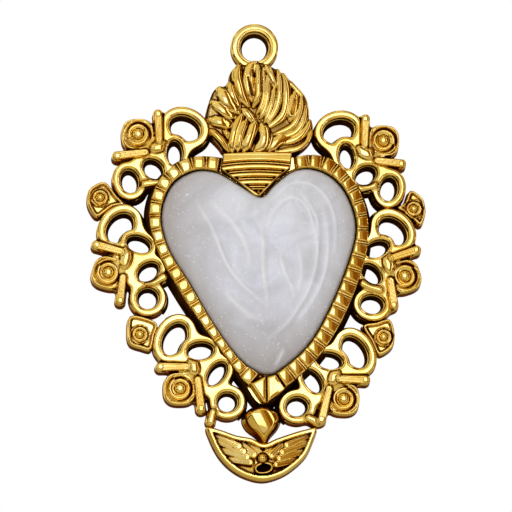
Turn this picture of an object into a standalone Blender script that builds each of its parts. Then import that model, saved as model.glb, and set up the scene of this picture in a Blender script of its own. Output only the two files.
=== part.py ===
"""Heart charm: a domed pearl heart in a beaded bezel, inside an openwork border of gilt scrolls.

The charm hangs upright. +X is to the viewer's right, +Z is up, and the front faces -Y.
The origin is the centre of the hanging eye. All sizes are millimetres until they meet a mesh.
Heights are measured forward from the flat back of the charm.
"""
import math

import bpy
import bmesh
from mathutils import Matrix, Vector

MM = 0.001
NO_MERGE = 0.0000001
FLAT_ANGLE = 0.002

# Length of the whole charm, from the top of the eye to the bottom of the plaque
CHARM_LENGTH = 60.1

# Levels, measured forward from the flat back
BACK_BEHIND_EYE = 1.5
BORDER_HEIGHT = 3.2
BORDER_ROUND = 0.4
STRAND_ROUND = 0.4
SEAT_GAP = 0.25
CUP_FLOOR = 0.8
CUP_HEIGHT = 3.0
GLUE_THICKNESS = 0.3
STONE_SIDE = 2.3
STONE_RISE = 1.6
STONE_GAP = 0.25
DOME_HALF_HEIGHT = 3.9
DOME_STEPS = (24, 16)

# Cutting solids reach well past what they cut
OVERSHOOT = 1.0
BACK_SLAB = (80.0, 90.0)
BACK_SLAB_CENTRE = (0.0, -25.0)
BACK_SLAB_THICKNESS = 5.0

# Rim of beads on the cup's wall
RIM_STRIP = 0.4
RIM_ROOT = 0.2
RIM_OVERLAP = 1.6
RIM_LINE_STEPS = 12
BEAD_HEIGHT = 0.75
BEAD_PITCH = 1.82
BEAD_LENGTH = 1.45
BEAD_TAPER = 0.78
BEAD_MARGIN = 0.12
BEAD_SIDE_ROOM = 0.3
GROOVE_RIDGE = 0.16
GROOVE_RIDGE_HEIGHT = 0.35

# Hanging eye
EYE_HOLE_RADIUS = 1.65
EYE_FRONT_RADIUS = 1.95
EYE_OUTER_RADIUS = 3.1
EYE_DEPTH = 2.2
EYE_ROUND = 0.4
EYE_STEPS = 24

# Flame, crown band, bud and winged plaque
FLAME_FOOT = 0.4
FLAME_SLAB = 3.35
FLAME_EDGE = 0.3
TONGUE_RADIUS = 0.72
TONGUE_RISE = 0.35
TONGUE_DIP = 0.1
CROWN_HEIGHT = 0.9
CROWN_MARGIN = 0.5
CROWN_RIB_RADIUS = 0.45
CROWN_RIB_BOW = 0.3
CROWN_RIB_STRAIGHT = 2.4
CROWN_RIB_END = 5.4
BUD_RADIUS = 2.45
BUD_LENGTH = 4.45
BUD_DEPTH = 3.6
BUD_LIFT = 0.3
BUD_FACES = 12
BUD_SHARES = [
    (0.0, 0.0), (0.42, 0.06), (0.85, 0.2), (1.0, 0.38), (0.9, 0.58), (0.55, 0.82), (0.14, 1.0), (0.0, 1.0)]
PLAQUE_HEIGHT = 2.2
PLAQUE_RIM = 0.55
PLAQUE_RIM_RISE = 0.8
FEATHER_RADIUS = 0.38
FEATHER_LEVEL = 0.1
FEATHER_RISE = 0.3
HEAD_RADIUS = 0.66
HEAD_SHARES = [(0.0, 1.5), (0.7, 1.2), (1.0, 0.5)]
HOLLOW_RISE = 0.6
HOLLOW_WALL = 0.35
HOLLOW_DEPTH = 1.2

# Scroll units
LOOP_STRAND = 1.05
WEB_STRAND = 0.85
RING_STRAND = 0.95
WEB_DROP = 0.2
WEB_STEP = 0.12
RING_DROP = 0.1
FOOT_DROP = 0.25
FIELD_DROP = 0.75
FIELD_INSET = 0.4
LOOP_STEPS = 16
WEB_STEPS = 11
RING_STEPS = 12
PAD_STEPS = 8
TIP_WIDTH = 1.25
TIP_DROP = 0.3
BAR_WIDTH = 1.0
BAR_RISE = 0.35
BAR_STEP = 0.06
BAR_ROUND = 0.28
CORE_WIDTH = 1.5
CORE_DROP = 0.38
PAD_RADIUS = 0.75
PAD_RISE = 0.05
ROSETTE_RADIUS = 1.7
ROSETTE_RISE = 0.75
ROSETTE_STEPS = 12
ROSETTE_PLATE = 2.1
ROSETTE_SINK = 0.5
ROSETTE_LIFT = 0.03
SMALL_ROSETTE = 1.05
SMALL_ROSETTE_STEPS = 10
LINK_DROP = 0.4
PLATE_ROUND = 0.2

# Members run on behind the back by unlike tails, which are then cut flat together
FIRST_TAIL = 0.5
TAIL_STEP = 0.1

# The tables below are drawn for the charm's length above and are brought to it further down.
# The stone's edge, clockwise from the notch, and the cup's outer wall, clockwise from the band
HEART_POINTS = [
    (0.3, -20.2), (2.0, -18.7), (4.3, -16.9), (6.7, -16.4), (9.3, -17.3), (11.3, -19.4), (12.5, -22.5),
    (12.6, -25.3), (11.4, -29.3), (9.3, -34.2), (6.6, -39.0), (3.4, -42.1), (0.8, -43.35), (-2.5, -41.6),
    (-6.0, -36.8), (-9.0, -31.5), (-11.8, -26.7), (-12.7, -22.3), (-11.3, -18.4), (-8.4, -16.6),
    (-5.4, -16.8), (-2.4, -18.6)]
CUP_POINTS = [
    (4.2, -14.9), (7.0, -14.65), (9.6, -15.3), (11.9, -17.4), (13.5, -20.3), (14.2, -23.9), (13.8, -28.0),
    (12.2, -32.8), (10.1, -37.2), (7.4, -41.1), (4.2, -44.1), (0.2, -47.1), (-2.3, -44.1), (-4.7, -40.7),
    (-7.5, -36.8), (-10.4, -32.3), (-13.1, -27.2), (-14.2, -22.4), (-13.1, -18.2), (-10.2, -15.4),
    (-7.2, -14.7), (-4.4, -14.9)]
FLAME_POINTS = [
    (0.0, -2.1), (1.9, -2.6), (4.1, -4.1), (5.9, -6.3), (6.7, -9.0), (7.1, -11.1), (6.2, -12.9),
    (4.0, -14.15), (0.0, -14.2), (-3.6, -14.15), (-4.9, -12.7), (-6.2, -11.2), (-6.1, -9.2),
    (-5.5, -7.0), (-4.7, -5.6), (-3.2, -4.9), (-2.7, -3.0)]
PLAQUE_POINTS = [
    (7.15, -50.1), (6.6, -52.0), (5.7, -53.8), (4.3, -55.2), (2.4, -56.4), (0.0, -57.0), (-2.4, -56.4),
    (-4.3, -55.2), (-5.7, -53.6), (-6.7, -51.6), (-7.15, -49.8), (-5.2, -50.2), (-3.3, -50.9), (-1.3, -51.3),
    (0.2, -52.0), (1.8, -51.4), (3.6, -50.8), (5.4, -50.3)]
KEYSTONES = [
    [(-0.05, -44.2), (-1.45, -44.7), (-0.55, -46.3), (-0.1, -46.5)],
    [(0.45, -44.4), (0.5, -46.5), (0.95, -46.2), (2.3, -44.9), (1.6, -44.1)]]
CROWN_POINTS = [
    (-4.35, -14.45), (0.0, -14.3), (4.35, -14.45), (4.15, -16.35), (0.25, -19.9), (-0.45, -19.9),
    (-4.7, -16.45)]
CROWN_RIBS = [(0.0, -15.0), (0.0, -16.15), (0.0, -17.2), (0.0, -18.25), (0.0, -19.2)]

# First and last bead on each side, and single places: the bud's top, the plaque's middle and the head
RIM_ENDS = [[(5.3, -15.7), (2.9, -43.6)], [(-5.9, -15.7), (-1.5, -43.4)]]
PLACES = dict(bud=(0.0, -47.25), plaque=(0.0, -53.2), head=(0.0, -54.0))

# Ovals: the stone's dome and the plaque's hollow, as centre x, centre z, halves and tilt
OVALS = dict(dome=(0.0, -28.5, 17.0, 18.5, 0.0), hollow=(0.0, -55.35, 1.35, 0.85, 0.0))

# Tongues of the flame: tip, bend, root and share of the full radius
TONGUES = [
    ((-2.2, -3.1), (-2.0, -5.4), (-1.1, -7.6), 0.85),
    ((-0.3, -2.6), (-0.7, -4.6), (-0.5, -6.8), 1.15),
    ((0.8, -3.4), (0.8, -6.2), (0.1, -8.4), 0.85),
    ((1.6, -3.1), (1.9, -6.4), (0.7, -9.6), 0.8),
    ((2.9, -3.7), (3.0, -6.6), (1.3, -10.1), 0.85),
    ((3.8, -4.6), (3.8, -7.6), (2.0, -10.7), 0.8),
    ((4.8, -6.6), (4.9, -8.4), (4.2, -9.8), 0.85),
    ((5.8, -7.1), (5.6, -9.4), (3.6, -11.4), 0.7),
    ((6.35, -8.8), (5.8, -10.8), (2.7, -12.2), 0.8),
    ((6.7, -10.9), (5.4, -12.6), (2.2, -13.3), 0.8),
    ((-4.6, -6.0), (-3.9, -7.4), (-2.6, -8.5), 0.85),
    ((-3.3, -5.4), (-3.0, -6.8), (-1.9, -8.3), 0.7),
    ((-5.2, -7.8), (-4.2, -8.5), (-2.8, -9.0), 0.8),
    ((-5.6, -9.6), (-4.6, -10.1), (-3.3, -10.2), 0.85),
    ((-5.7, -11.3), (-4.7, -12.2), (-3.7, -13.7), 0.8),
    ((-1.7, -9.5), (-2.7, -11.4), (-3.1, -13.7), 0.8),
    ((-0.7, -10.2), (-1.5, -12.0), (-1.9, -13.8), 0.8),
    ((0.6, -11.0), (0.2, -12.4), (-0.7, -13.8), 0.9),
    ((1.4, -11.9), (1.3, -12.8), (0.7, -13.8), 0.7)]

# Feathers of the winged plaque: tip, root and share of the full radius
FEATHERS = [
    ((-6.3, -50.6), (-3.0, -52.3), 1.0), ((-5.9, -51.8), (-2.4, -53.1), 1.0),
    ((-5.3, -53.0), (-2.0, -53.8), 1.0), ((-4.4, -54.1), (-1.6, -54.5), 1.0),
    ((-2.9, -51.8), (-1.1, -53.5), 1.15), ((-1.4, -52.0), (-0.4, -53.3), 1.15),
    ((1.3, -52.2), (0.6, -53.3), 1.15), ((2.8, -51.9), (1.2, -53.6), 1.15),
    ((6.3, -50.9), (3.2, -52.3), 1.0), ((5.9, -52.0), (2.6, -53.2), 1.0),
    ((5.3, -53.2), (2.2, -54.0), 1.0), ((4.3, -54.3), (1.8, -54.8), 1.0)]

# Scroll units. Ovals are centre x, centre z, long half, short half and tilt in degrees.
# Each bar runs from its free end to the end that meets the other bar.
# A tongue reaches into each curl's hole as far as its tip.
UNITS = {
    "scroll_left_1": dict(
        curl=(-9.4, -10.75, 2.2, 1.65, -25), hole_a=(-10.8, -14.0, 1.65, 1.1, 92), tip=(-10.2, -11.7),
        hole_b=(-13.6, -16.1, 1.55, 1.2, -40), ring=(-16.7, -17.7, 1.6, 1.25, 105),
        rosette=(-15.5, -11.45), bar_one=((-12.9, -8.9), (-12.8, -12.4)),
        bar_two=((-18.3, -14.4), (-14.6, -14.0)), pad=(-15.7, -15.3), foot=((-15.0, -18.2), (-13.2, -17.9))),
    "scroll_left_2": dict(
        curl=(-18.0, -23.8, 2.2, 1.65, 50), hole_a=(-15.6, -26.0, 1.7, 1.1, -20), tip=(-17.3, -24.8),
        hole_b=(-14.4, -29.6, 1.6, 1.15, 32), ring=(-14.5, -33.1, 1.45, 1.4, 0),
        rosette=(-19.6, -29.6), bar_one=((-21.1, -26.1), (-17.9, -27.0)),
        bar_two=((-18.1, -33.4), (-17.7, -30.4)), pad=(-16.4, -31.3), foot=((-14.5, -31.4), (-12.4, -30.4))),
    "scroll_left_3": dict(
        curl=(-11.1, -38.4, 2.3, 1.55, 60), hole_a=(-7.8, -40.0, 1.8, 1.15, 5), tip=(-10.2, -39.3),
        hole_b=(-5.7, -43.0, 1.75, 1.05, 52), ring=(-4.4, -46.7, 1.4, 1.3, 0),
        rosette=(-10.5, -44.8), bar_one=((-13.0, -42.1), (-9.6, -42.1)),
        bar_two=((-7.8, -47.6), (-8.2, -43.8)), pad=(-6.8, -45.3), foot=((-6.3, -48.0), (-6.6, -49.2))),
    "scroll_right_1": dict(
        curl=(10.7, -11.35, 2.2, 1.65, 15), hole_a=(11.7, -14.7, 1.65, 1.05, 98), tip=(11.0, -12.5),
        hole_b=(14.1, -17.2, 1.55, 1.2, 28), ring=(17.1, -19.0, 1.65, 1.25, 80),
        rosette=(16.5, -12.7), bar_one=((14.2, -9.8), (14.0, -13.3)),
        bar_two=((18.8, -15.8), (15.6, -15.4)), pad=(14.4, -14.9), foot=((15.2, -18.6), (13.4, -19.0))),
    "scroll_right_2": dict(
        curl=(17.5, -24.6, 2.2, 1.6, -42), hole_a=(15.4, -26.95, 1.65, 1.1, 20), tip=(17.1, -25.5),
        hole_b=(14.6, -30.2, 1.6, 1.05, -45), ring=(14.6, -34.2, 1.6, 1.25, -8),
        rosette=(18.85, -30.4), bar_one=((20.5, -27.2), (17.3, -28.2)),
        bar_two=((17.4, -34.4), (17.0, -31.2)), pad=(16.0, -32.2), foot=((15.6, -32.4), (13.4, -31.5))),
    "scroll_right_3": dict(
        curl=(12.2, -40.4, 2.3, 1.5, -58), hole_a=(8.9, -41.5, 1.75, 1.1, -12), tip=(11.3, -41.1),
        hole_b=(6.7, -44.1, 1.75, 1.05, -55), ring=(4.6, -47.4, 1.5, 1.3, 0),
        rosette=(10.5, -46.4), bar_one=((13.5, -44.1), (10.2, -43.9)),
        bar_two=((7.7, -49.2), (8.7, -45.2)), pad=(7.1, -46.6), foot=((6.0, -48.9), (6.9, -49.3)))}

# Small rosettes: centre and the outline of their web
LINKS = {
    "rosette_left_upper": ((-20.6, -19.8), [
        (-19.9, -17.7), (-21.8, -18.5), (-22.2, -20.0), (-21.9, -21.3), (-20.9, -22.5), (-19.0, -21.1),
        (-17.3, -20.8), (-18.4, -19.6)]),
    "rosette_left_lower": ((-15.6, -37.7), [
        (-16.8, -35.3), (-17.2, -37.4), (-16.9, -39.0), (-15.5, -39.6), (-14.2, -39.9), (-13.7, -38.0),
        (-13.2, -36.4), (-14.6, -35.6)]),
    "rosette_right_upper": ((20.3, -21.6), [
        (19.9, -19.2), (21.4, -20.3), (21.8, -21.7), (21.7, -22.8), (21.0, -24.0), (19.4, -22.4),
        (18.0, -21.6), (19.1, -20.8)]),
    "rosette_right_lower": ((16.0, -38.4), [
        (13.2, -37.0), (15.0, -36.6), (16.8, -36.1), (17.5, -38.0), (17.3, -39.6), (16.1, -40.7),
        (15.1, -40.8), (14.2, -39.0)])}

# Finishes: colour, metallic and roughness
FINISHES = {
    "polished_gold": ((0.83, 0.60, 0.22, 1.0), 1.0, 0.2),
    "shaded_gold": ((0.62, 0.43, 0.16, 1.0), 1.0, 0.35),
    "pearl": ((0.80, 0.80, 0.82, 1.0), 0.0, 0.2),
    "clear_glue": ((0.72, 0.70, 0.64, 1.0), 0.0, 0.4)}


def to_size(drawn, ratio):
    """A drawn table at the charm's size; shares of a radius and tilts stay as they are."""
    if isinstance(drawn, dict):
        return {name: to_size(item, ratio) for name, item in drawn.items()}
    if isinstance(drawn, (int, float)):
        return drawn
    if isinstance(drawn[0], (list, tuple)):
        return [to_size(item, ratio) for item in drawn]
    return tuple(length * ratio for length in drawn[:4]) + drawn[4:]


def clear_scene():
    """Remove whatever the file opened with."""
    for thing in list(bpy.data.objects):
        bpy.data.objects.remove(thing, do_unlink=True)


def new_collection(name):
    """A collection linked to the scene."""
    group = bpy.data.collections.new(name)
    bpy.context.scene.collection.children.link(group)
    return group


def finish(name):
    """The Principled material of one finish, made once."""
    if name in bpy.data.materials:
        return bpy.data.materials[name]
    colour, metallic, roughness = FINISHES[name]
    material = bpy.data.materials.new(name)
    material.use_nodes = True
    shader = material.node_tree.nodes["Principled BSDF"]
    shader.inputs["Base Color"].default_value = colour
    shader.inputs["Metallic"].default_value = metallic
    shader.inputs["Roughness"].default_value = roughness
    material.diffuse_color = colour
    return material


def depth(height):
    """World Y, in metres, of a height above the flat back."""
    return (BACK_BEHIND_EYE - height) * MM


def smooth_loop(points, steps):
    """Closed smooth curve through the points, with the given steps on each span."""
    count = len(points)
    loop = []
    for k in range(count):
        before, start, end, after = (Vector(points[(k + shift) % count]) for shift in (-1, 0, 1, 2))
        for step in range(steps):
            t = step / steps
            bend = 2 * before - 5 * start + 4 * end - after
            swing = 3 * start - before - 3 * end + after
            point = 0.5 * (2 * start + (end - before) * t + bend * t * t + swing * t ** 3)
            loop.append((point.x, point.y))
    return loop


def oval(shape, grow, steps):
    """Outline of an oval given as centre x, centre z, long half, short half and tilt."""
    x, z, long_half, short_half, tilt = shape
    turn = math.radians(tilt)
    loop = []
    for k in range(steps):
        angle = 2 * math.pi * k / steps
        along = (long_half + grow) * math.cos(angle)
        across = (short_half + grow) * math.sin(angle)
        loop.append((x + along * math.cos(turn) - across * math.sin(turn),
                     z + along * math.sin(turn) + across * math.cos(turn)))
    return loop


def capsule(start, end, width, steps=4):
    """Outline of a bar with round ends."""
    heading = math.atan2(end[1] - start[1], end[0] - start[0])
    loop = []
    for centre, first in ((end, heading - math.pi / 2), (start, heading + math.pi / 2)):
        for k in range(steps + 1):
            angle = first + math.pi * k / steps
            loop.append((centre[0] + width / 2 * math.cos(angle), centre[1] + width / 2 * math.sin(angle)))
    return loop


def cushion(centre, half, side_start, side_end, steps=12):
    """Square outline with full sides and round corners, turned to lie along a bar."""
    turn = math.atan2(side_end[1] - side_start[1], side_end[0] - side_start[0])
    loop = []
    for k in range(steps):
        angle = 2 * math.pi * (k + 0.5) / steps
        along = math.copysign(half * abs(math.cos(angle)) ** 0.62, math.cos(angle))
        across = math.copysign(half * abs(math.sin(angle)) ** 0.62, math.sin(angle))
        loop.append((centre[0] + along * math.cos(turn) - across * math.sin(turn),
                     centre[1] + along * math.sin(turn) + across * math.cos(turn)))
    return loop


def outline_area(loop):
    """Signed area of an outline, positive where it runs counterclockwise."""
    return 0.5 * sum(a[0] * b[1] - b[0] * a[1] for a, b in zip(loop, loop[1:] + loop[:1]))


def grown(loop, distance):
    """The outline moved outward by a distance, or inward where it is negative."""
    side = 1 if outline_area(loop) > 0 else -1
    count = len(loop)
    moved = []
    for k, here in enumerate(loop):
        run_in = (Vector(here) - Vector(loop[k - 1])).normalized()
        run_out = (Vector(loop[(k + 1) % count]) - Vector(here)).normalized()
        run = (run_in + run_out).normalized()
        reach = distance / max(0.5, run.dot(run_out))
        moved.append((here[0] + side * reach * run.y, here[1] - side * reach * run.x))
    return moved


def drawn_in(loop, centre, margin):
    """The outline scaled toward a centre, so that its outermost points move in by the margin."""
    half_width = max(abs(x - centre[0]) for x, z in loop)
    half_height = max(abs(z - centre[1]) for x, z in loop)
    narrow = 1 - margin / half_width
    lower = 1 - margin / half_height
    return [(centre[0] + (x - centre[0]) * narrow, centre[1] + (z - centre[1]) * lower) for x, z in loop]


def as_mesh(holder):
    """Turn an unlinked curve or modified object into a plain mesh object where it stands."""
    bpy.context.scene.collection.objects.link(holder)
    bpy.context.view_layer.update()
    evaluated = holder.evaluated_get(bpy.context.evaluated_depsgraph_get())
    mesh = bpy.data.meshes.new_from_object(evaluated)
    body = bmesh.new()
    body.from_mesh(mesh)
    bmesh.ops.remove_doubles(body, verts=body.verts, dist=NO_MERGE)
    bmesh.ops.dissolve_limit(body, angle_limit=FLAT_ANGLE, verts=body.verts, edges=body.edges)
    bmesh.ops.recalc_face_normals(body, faces=body.faces)
    body.to_mesh(mesh)
    body.free()
    solid = bpy.data.objects.new(holder.name + "_solid", mesh)
    solid.matrix_world = holder.matrix_world.copy()
    bpy.data.objects.remove(holder, do_unlink=True)
    return solid


def plate(loops, low, high, edge=0.0):
    """Plate between two heights: the first loop is its outline, the others are its holes."""
    curve = bpy.data.curves.new("outline", "CURVE")
    curve.dimensions = "2D"
    curve.fill_mode = "BOTH"
    curve.extrude = ((high - low) / 2 - edge) * MM
    curve.bevel_depth = edge * MM
    curve.bevel_resolution = 0
    curve.offset = -edge * MM
    for loop in loops:
        spline = curve.splines.new("POLY")
        spline.points.add(len(loop) - 1)
        for point, (x, z) in zip(spline.points, loop):
            point.co = (x * MM, z * MM, 0.0, 1.0)
        spline.use_cyclic_u = True
    holder = bpy.data.objects.new("plate", curve)
    holder.rotation_euler = (math.pi / 2, 0.0, 0.0)
    holder.location = (0.0, depth((low + high) / 2), 0.0)
    return as_mesh(holder)


def raised_plate(loops, low, high, edge, tail=0.5):
    """Plate with a rounded front edge; its back runs on by its tail, to be cut flat with the unit."""
    return plate(loops, low - tail, high, edge)


def turned(profile, centre, level, steps, facing_front=True):
    """Profile of radius and height turned about an axis that faces the front, or about the vertical."""
    mesh = bpy.data.meshes.new("profile")
    body = bmesh.new()
    corners = [body.verts.new((radius * MM, 0.0, height * MM)) for radius, height in profile]
    for start, end in zip(corners, corners[1:]):
        body.edges.new((start, end))
    body.to_mesh(mesh)
    body.free()
    holder = bpy.data.objects.new("turned", mesh)
    screw = holder.modifiers.new("turn", "SCREW")
    screw.steps = steps
    screw.render_steps = steps
    screw.use_merge_vertices = True
    screw.merge_threshold = NO_MERGE
    if facing_front:
        holder.rotation_euler = (math.pi / 2, 0.0, 0.0)
    holder.location = (centre[0] * MM, depth(level), centre[1] * MM)
    return as_mesh(holder)


def tongue(route, radii):
    """Rounded, tapering tongue along a route of x, height and z."""
    curve = bpy.data.curves.new("tongue", "CURVE")
    curve.dimensions = "3D"
    curve.bevel_depth = MM
    curve.bevel_resolution = 1
    curve.use_fill_caps = True
    spline = curve.splines.new("POLY")
    spline.points.add(len(route) - 1)
    for point, (x, height, z), radius in zip(spline.points, route, radii):
        point.co = (x * MM, depth(height), z * MM, 1.0)
        point.radius = radius
    return as_mesh(bpy.data.objects.new("tongue", curve))


def block(centre, low, high, size, turn, taper=1.0):
    """Four-sided block standing on a height, turned in the front plane and narrowed to its top."""
    mesh = bpy.data.meshes.new("block")
    body = bmesh.new()
    bmesh.ops.create_cube(body, size=1.0)
    for corner in body.verts:
        share = taper if corner.co.z > 0 else 1.0
        corner.co.x *= size[0] * share * MM
        corner.co.y *= size[1] * share * MM
        corner.co.z *= (high - low) * MM
    body.to_mesh(mesh)
    body.free()
    holder = bpy.data.objects.new("block", mesh)
    spin = Matrix.Rotation(math.pi / 2, 4, "X") @ Matrix.Rotation(turn, 4, "Z")
    holder.matrix_world = Matrix.Translation((centre[0] * MM, depth((low + high) / 2), centre[1] * MM)) @ spin
    return holder


def settle(solid):
    """Write the object's placement into its mesh."""
    solid.data.transform(solid.matrix_world)
    solid.matrix_world = Matrix.Identity(4)
    return solid


def combine(base, others, operation):
    """Boolean union, difference or intersection of a mesh with others, which are used up."""
    settle(base)
    for other in others:
        bpy.context.scene.collection.objects.link(other)
        settle(other)
        cut = base.modifiers.new(operation.lower(), "BOOLEAN")
        cut.operation = operation
        cut.solver = "EXACT"
        cut.use_hole_tolerant = True
        cut.object = other
        base = as_mesh(base)
        bpy.data.objects.remove(other, do_unlink=True)
    return base


def flat_back(solid, low):
    """Cut away whatever lies behind a height."""
    slab = block(BACK_SLAB_CENTRE, low - BACK_SLAB_THICKNESS, low, BACK_SLAB, 0.0)
    return combine(solid, [slab], "DIFFERENCE")


def publish(solid, name, finish_name, smooth_angle=50.0):
    """Name, finish and file one finished part."""
    settle(solid)
    solid.name = name
    solid.data.name = name
    solid.data.materials.clear()
    solid.data.materials.append(finish(finish_name))
    solid.data.shade_smooth()
    solid.data.set_sharp_from_angle(angle=math.radians(smooth_angle))
    parts.objects.link(solid)
    return solid


def heart_outline(grow=0.0):
    """Edge of the stone's opening in the cup."""
    return grown(smooth_loop(HEART, 2), grow)


def cup_outline(grow=0.0):
    """Outer wall of the cup."""
    return grown(smooth_loop(CUP, 2), grow)


def crown_outline(grow=0.0, longer=0.0):
    """V-shaped outline of the ribbed band, grown all round and made longer at its point."""
    apex = min(z for x, z in CROWN)
    return grown([(x, z - longer if z == apex else z) for x, z in CROWN], grow)


def make_cup():
    """Floor and wall that hold the stone; the wall is left wide under the ribbed band."""
    wall = plate([cup_outline()], 0.0, CUP_HEIGHT)
    pocket = plate([heart_outline()], CUP_FLOOR, CUP_HEIGHT + OVERSHOOT)
    return combine(wall, [pocket], "DIFFERENCE")


def make_glue():
    """Glue layer between the cup's floor and the stone."""
    low = CUP_FLOOR + SEAT_GAP
    return plate([heart_outline(-2 * STONE_GAP)], low, low + GLUE_THICKNESS)


def make_stone():
    """Heart-shaped cabochon: straight side below, one broad dome above."""
    low = CUP_FLOOR + 2 * SEAT_GAP + GLUE_THICKNESS
    top = low + STONE_SIDE + STONE_RISE
    stone = plate([heart_outline(-STONE_GAP)], low, top + OVERSHOOT)
    x, z, half_width, half_length, _ = ROUNDS["dome"]
    mesh = bpy.data.meshes.new("dome")
    body = bmesh.new()
    bmesh.ops.create_uvsphere(body, u_segments=DOME_STEPS[0], v_segments=DOME_STEPS[1], radius=1.0)
    for corner in body.verts:
        corner.co.x *= half_width * MM
        corner.co.y *= half_length * MM
        corner.co.z *= DOME_HALF_HEIGHT * MM
    body.to_mesh(mesh)
    body.free()
    dome = bpy.data.objects.new("dome", mesh)
    place = Matrix.Translation((x * MM, depth(top - DOME_HALF_HEIGHT), z * MM))
    dome.matrix_world = place @ Matrix.Rotation(math.pi / 2, 4, "X")
    return combine(stone, [dome], "INTERSECT")


def rim_line():
    """Middle of the rim, point by point along the stone's edge, with the rim's width there."""
    inner = smooth_loop(HEART, RIM_LINE_STEPS)
    outer = smooth_loop(CUP, RIM_LINE_STEPS)
    line = []
    for point in inner:
        nearest = min(outer, key=lambda other: math.dist(point, other))
        line.append(((point[0] + nearest[0]) / 2, (point[1] + nearest[1]) / 2, math.dist(point, nearest)))
    return line


def bead_stations(line, first, last):
    """Centres, headings and widths of evenly spaced beads between two points of the rim."""
    start = min(range(len(line)), key=lambda k: math.dist(line[k][:2], first))
    end = min(range(len(line)), key=lambda k: math.dist(line[k][:2], last))
    step = 1 if first[0] > 0 else -1
    run = [line[start]]
    k = start
    while k != end:
        k = (k + step) % len(line)
        run.append(line[k])
    lengths = [0.0]
    for here, there in zip(run, run[1:]):
        lengths.append(lengths[-1] + math.dist(here[:2], there[:2]))
    count = round(lengths[-1] / BEAD_PITCH)
    stations = []
    for number in range(2 * count + 1):
        target = lengths[-1] * number / (2 * count)
        spot = max(k for k, length in enumerate(lengths) if length <= target + 1e-9)
        spot = min(spot, len(run) - 2)
        share = (target - lengths[spot]) / (lengths[spot + 1] - lengths[spot])
        x, z, width = (run[spot][i] + share * (run[spot + 1][i] - run[spot][i]) for i in range(3))
        heading = math.atan2(run[spot + 1][1] - run[spot][1], run[spot + 1][0] - run[spot][0])
        stations.append((x, z, heading, width))
    return stations


def make_rim():
    """Strip on the cup's wall with cushion beads, ridges between them and two keystones."""
    low = CUP_HEIGHT + SEAT_GAP
    top = low + RIM_STRIP
    strip = plate([cup_outline(-BEAD_MARGIN), heart_outline(BEAD_MARGIN)], low, top)
    notch = plate([crown_outline(SEAT_GAP, RIM_OVERLAP)], low - OVERSHOOT, top + OVERSHOOT)
    strip = combine(strip, [notch], "DIFFERENCE")
    line = rim_line()
    root = top - RIM_ROOT
    added = []
    for first, last in BEAD_RUNS:
        for number, (x, z, heading, width) in enumerate(bead_stations(line, first, last)):
            across = width - BEAD_SIDE_ROOM
            if number % 2 == 0:
                size = (BEAD_LENGTH, across)
                added.append(block((x, z), root, top + BEAD_HEIGHT, size, heading, BEAD_TAPER))
            else:
                size = (GROOVE_RIDGE, across)
                added.append(block((x, z), root, top + GROOVE_RIDGE_HEIGHT, size, heading))
    for corners in KEYS:
        added.append(raised_plate([corners], top, top + BEAD_HEIGHT, RIM_ROOT))
    return combine(strip, added, "UNION")


def make_crown():
    """Ribbed V band: a flat V with bowed ribs across it, trimmed to its edge."""
    low = CUP_HEIGHT + SEAT_GAP
    top = low + CROWN_HEIGHT
    high = top - CROWN_RIB_RADIUS / 2
    lower = top - CROWN_RIB_RADIUS
    band = plate([crown_outline(CROWN_MARGIN)], low, high)
    ribs = []
    for x, z in RIBS:
        half = [(CROWN_RIB_STRAIGHT, high, z), (CROWN_RIB_END, lower, z - CROWN_RIB_BOW)]
        route = [(x - across, level, down) for across, level, down in reversed(half)]
        route += [(x + across, level, down) for across, level, down in half]
        ribs.append(tongue(route, [CROWN_RIB_RADIUS] * len(route)))
    band = combine(band, ribs, "UNION")
    return combine(band, [plate([crown_outline()], low - OVERSHOOT, top + OVERSHOOT)], "INTERSECT")


def make_eye():
    """Hanging eye: a rounded strip turned front to back; its hole narrows to the back."""
    half = EYE_DEPTH / 2
    profile = [
        (EYE_OUTER_RADIUS - EYE_ROUND, half), (EYE_OUTER_RADIUS, half - EYE_ROUND),
        (EYE_OUTER_RADIUS, EYE_ROUND - half), (EYE_OUTER_RADIUS - EYE_ROUND, -half),
        (EYE_HOLE_RADIUS + EYE_ROUND / 2, -half), (EYE_HOLE_RADIUS, EYE_ROUND - half),
        (EYE_FRONT_RADIUS, half - EYE_ROUND), (EYE_FRONT_RADIUS + EYE_ROUND / 2, half),
        (EYE_OUTER_RADIUS - EYE_ROUND, half)]
    return turned(profile, (0.0, 0.0), BACK_BEHIND_EYE, EYE_STEPS)


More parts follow.
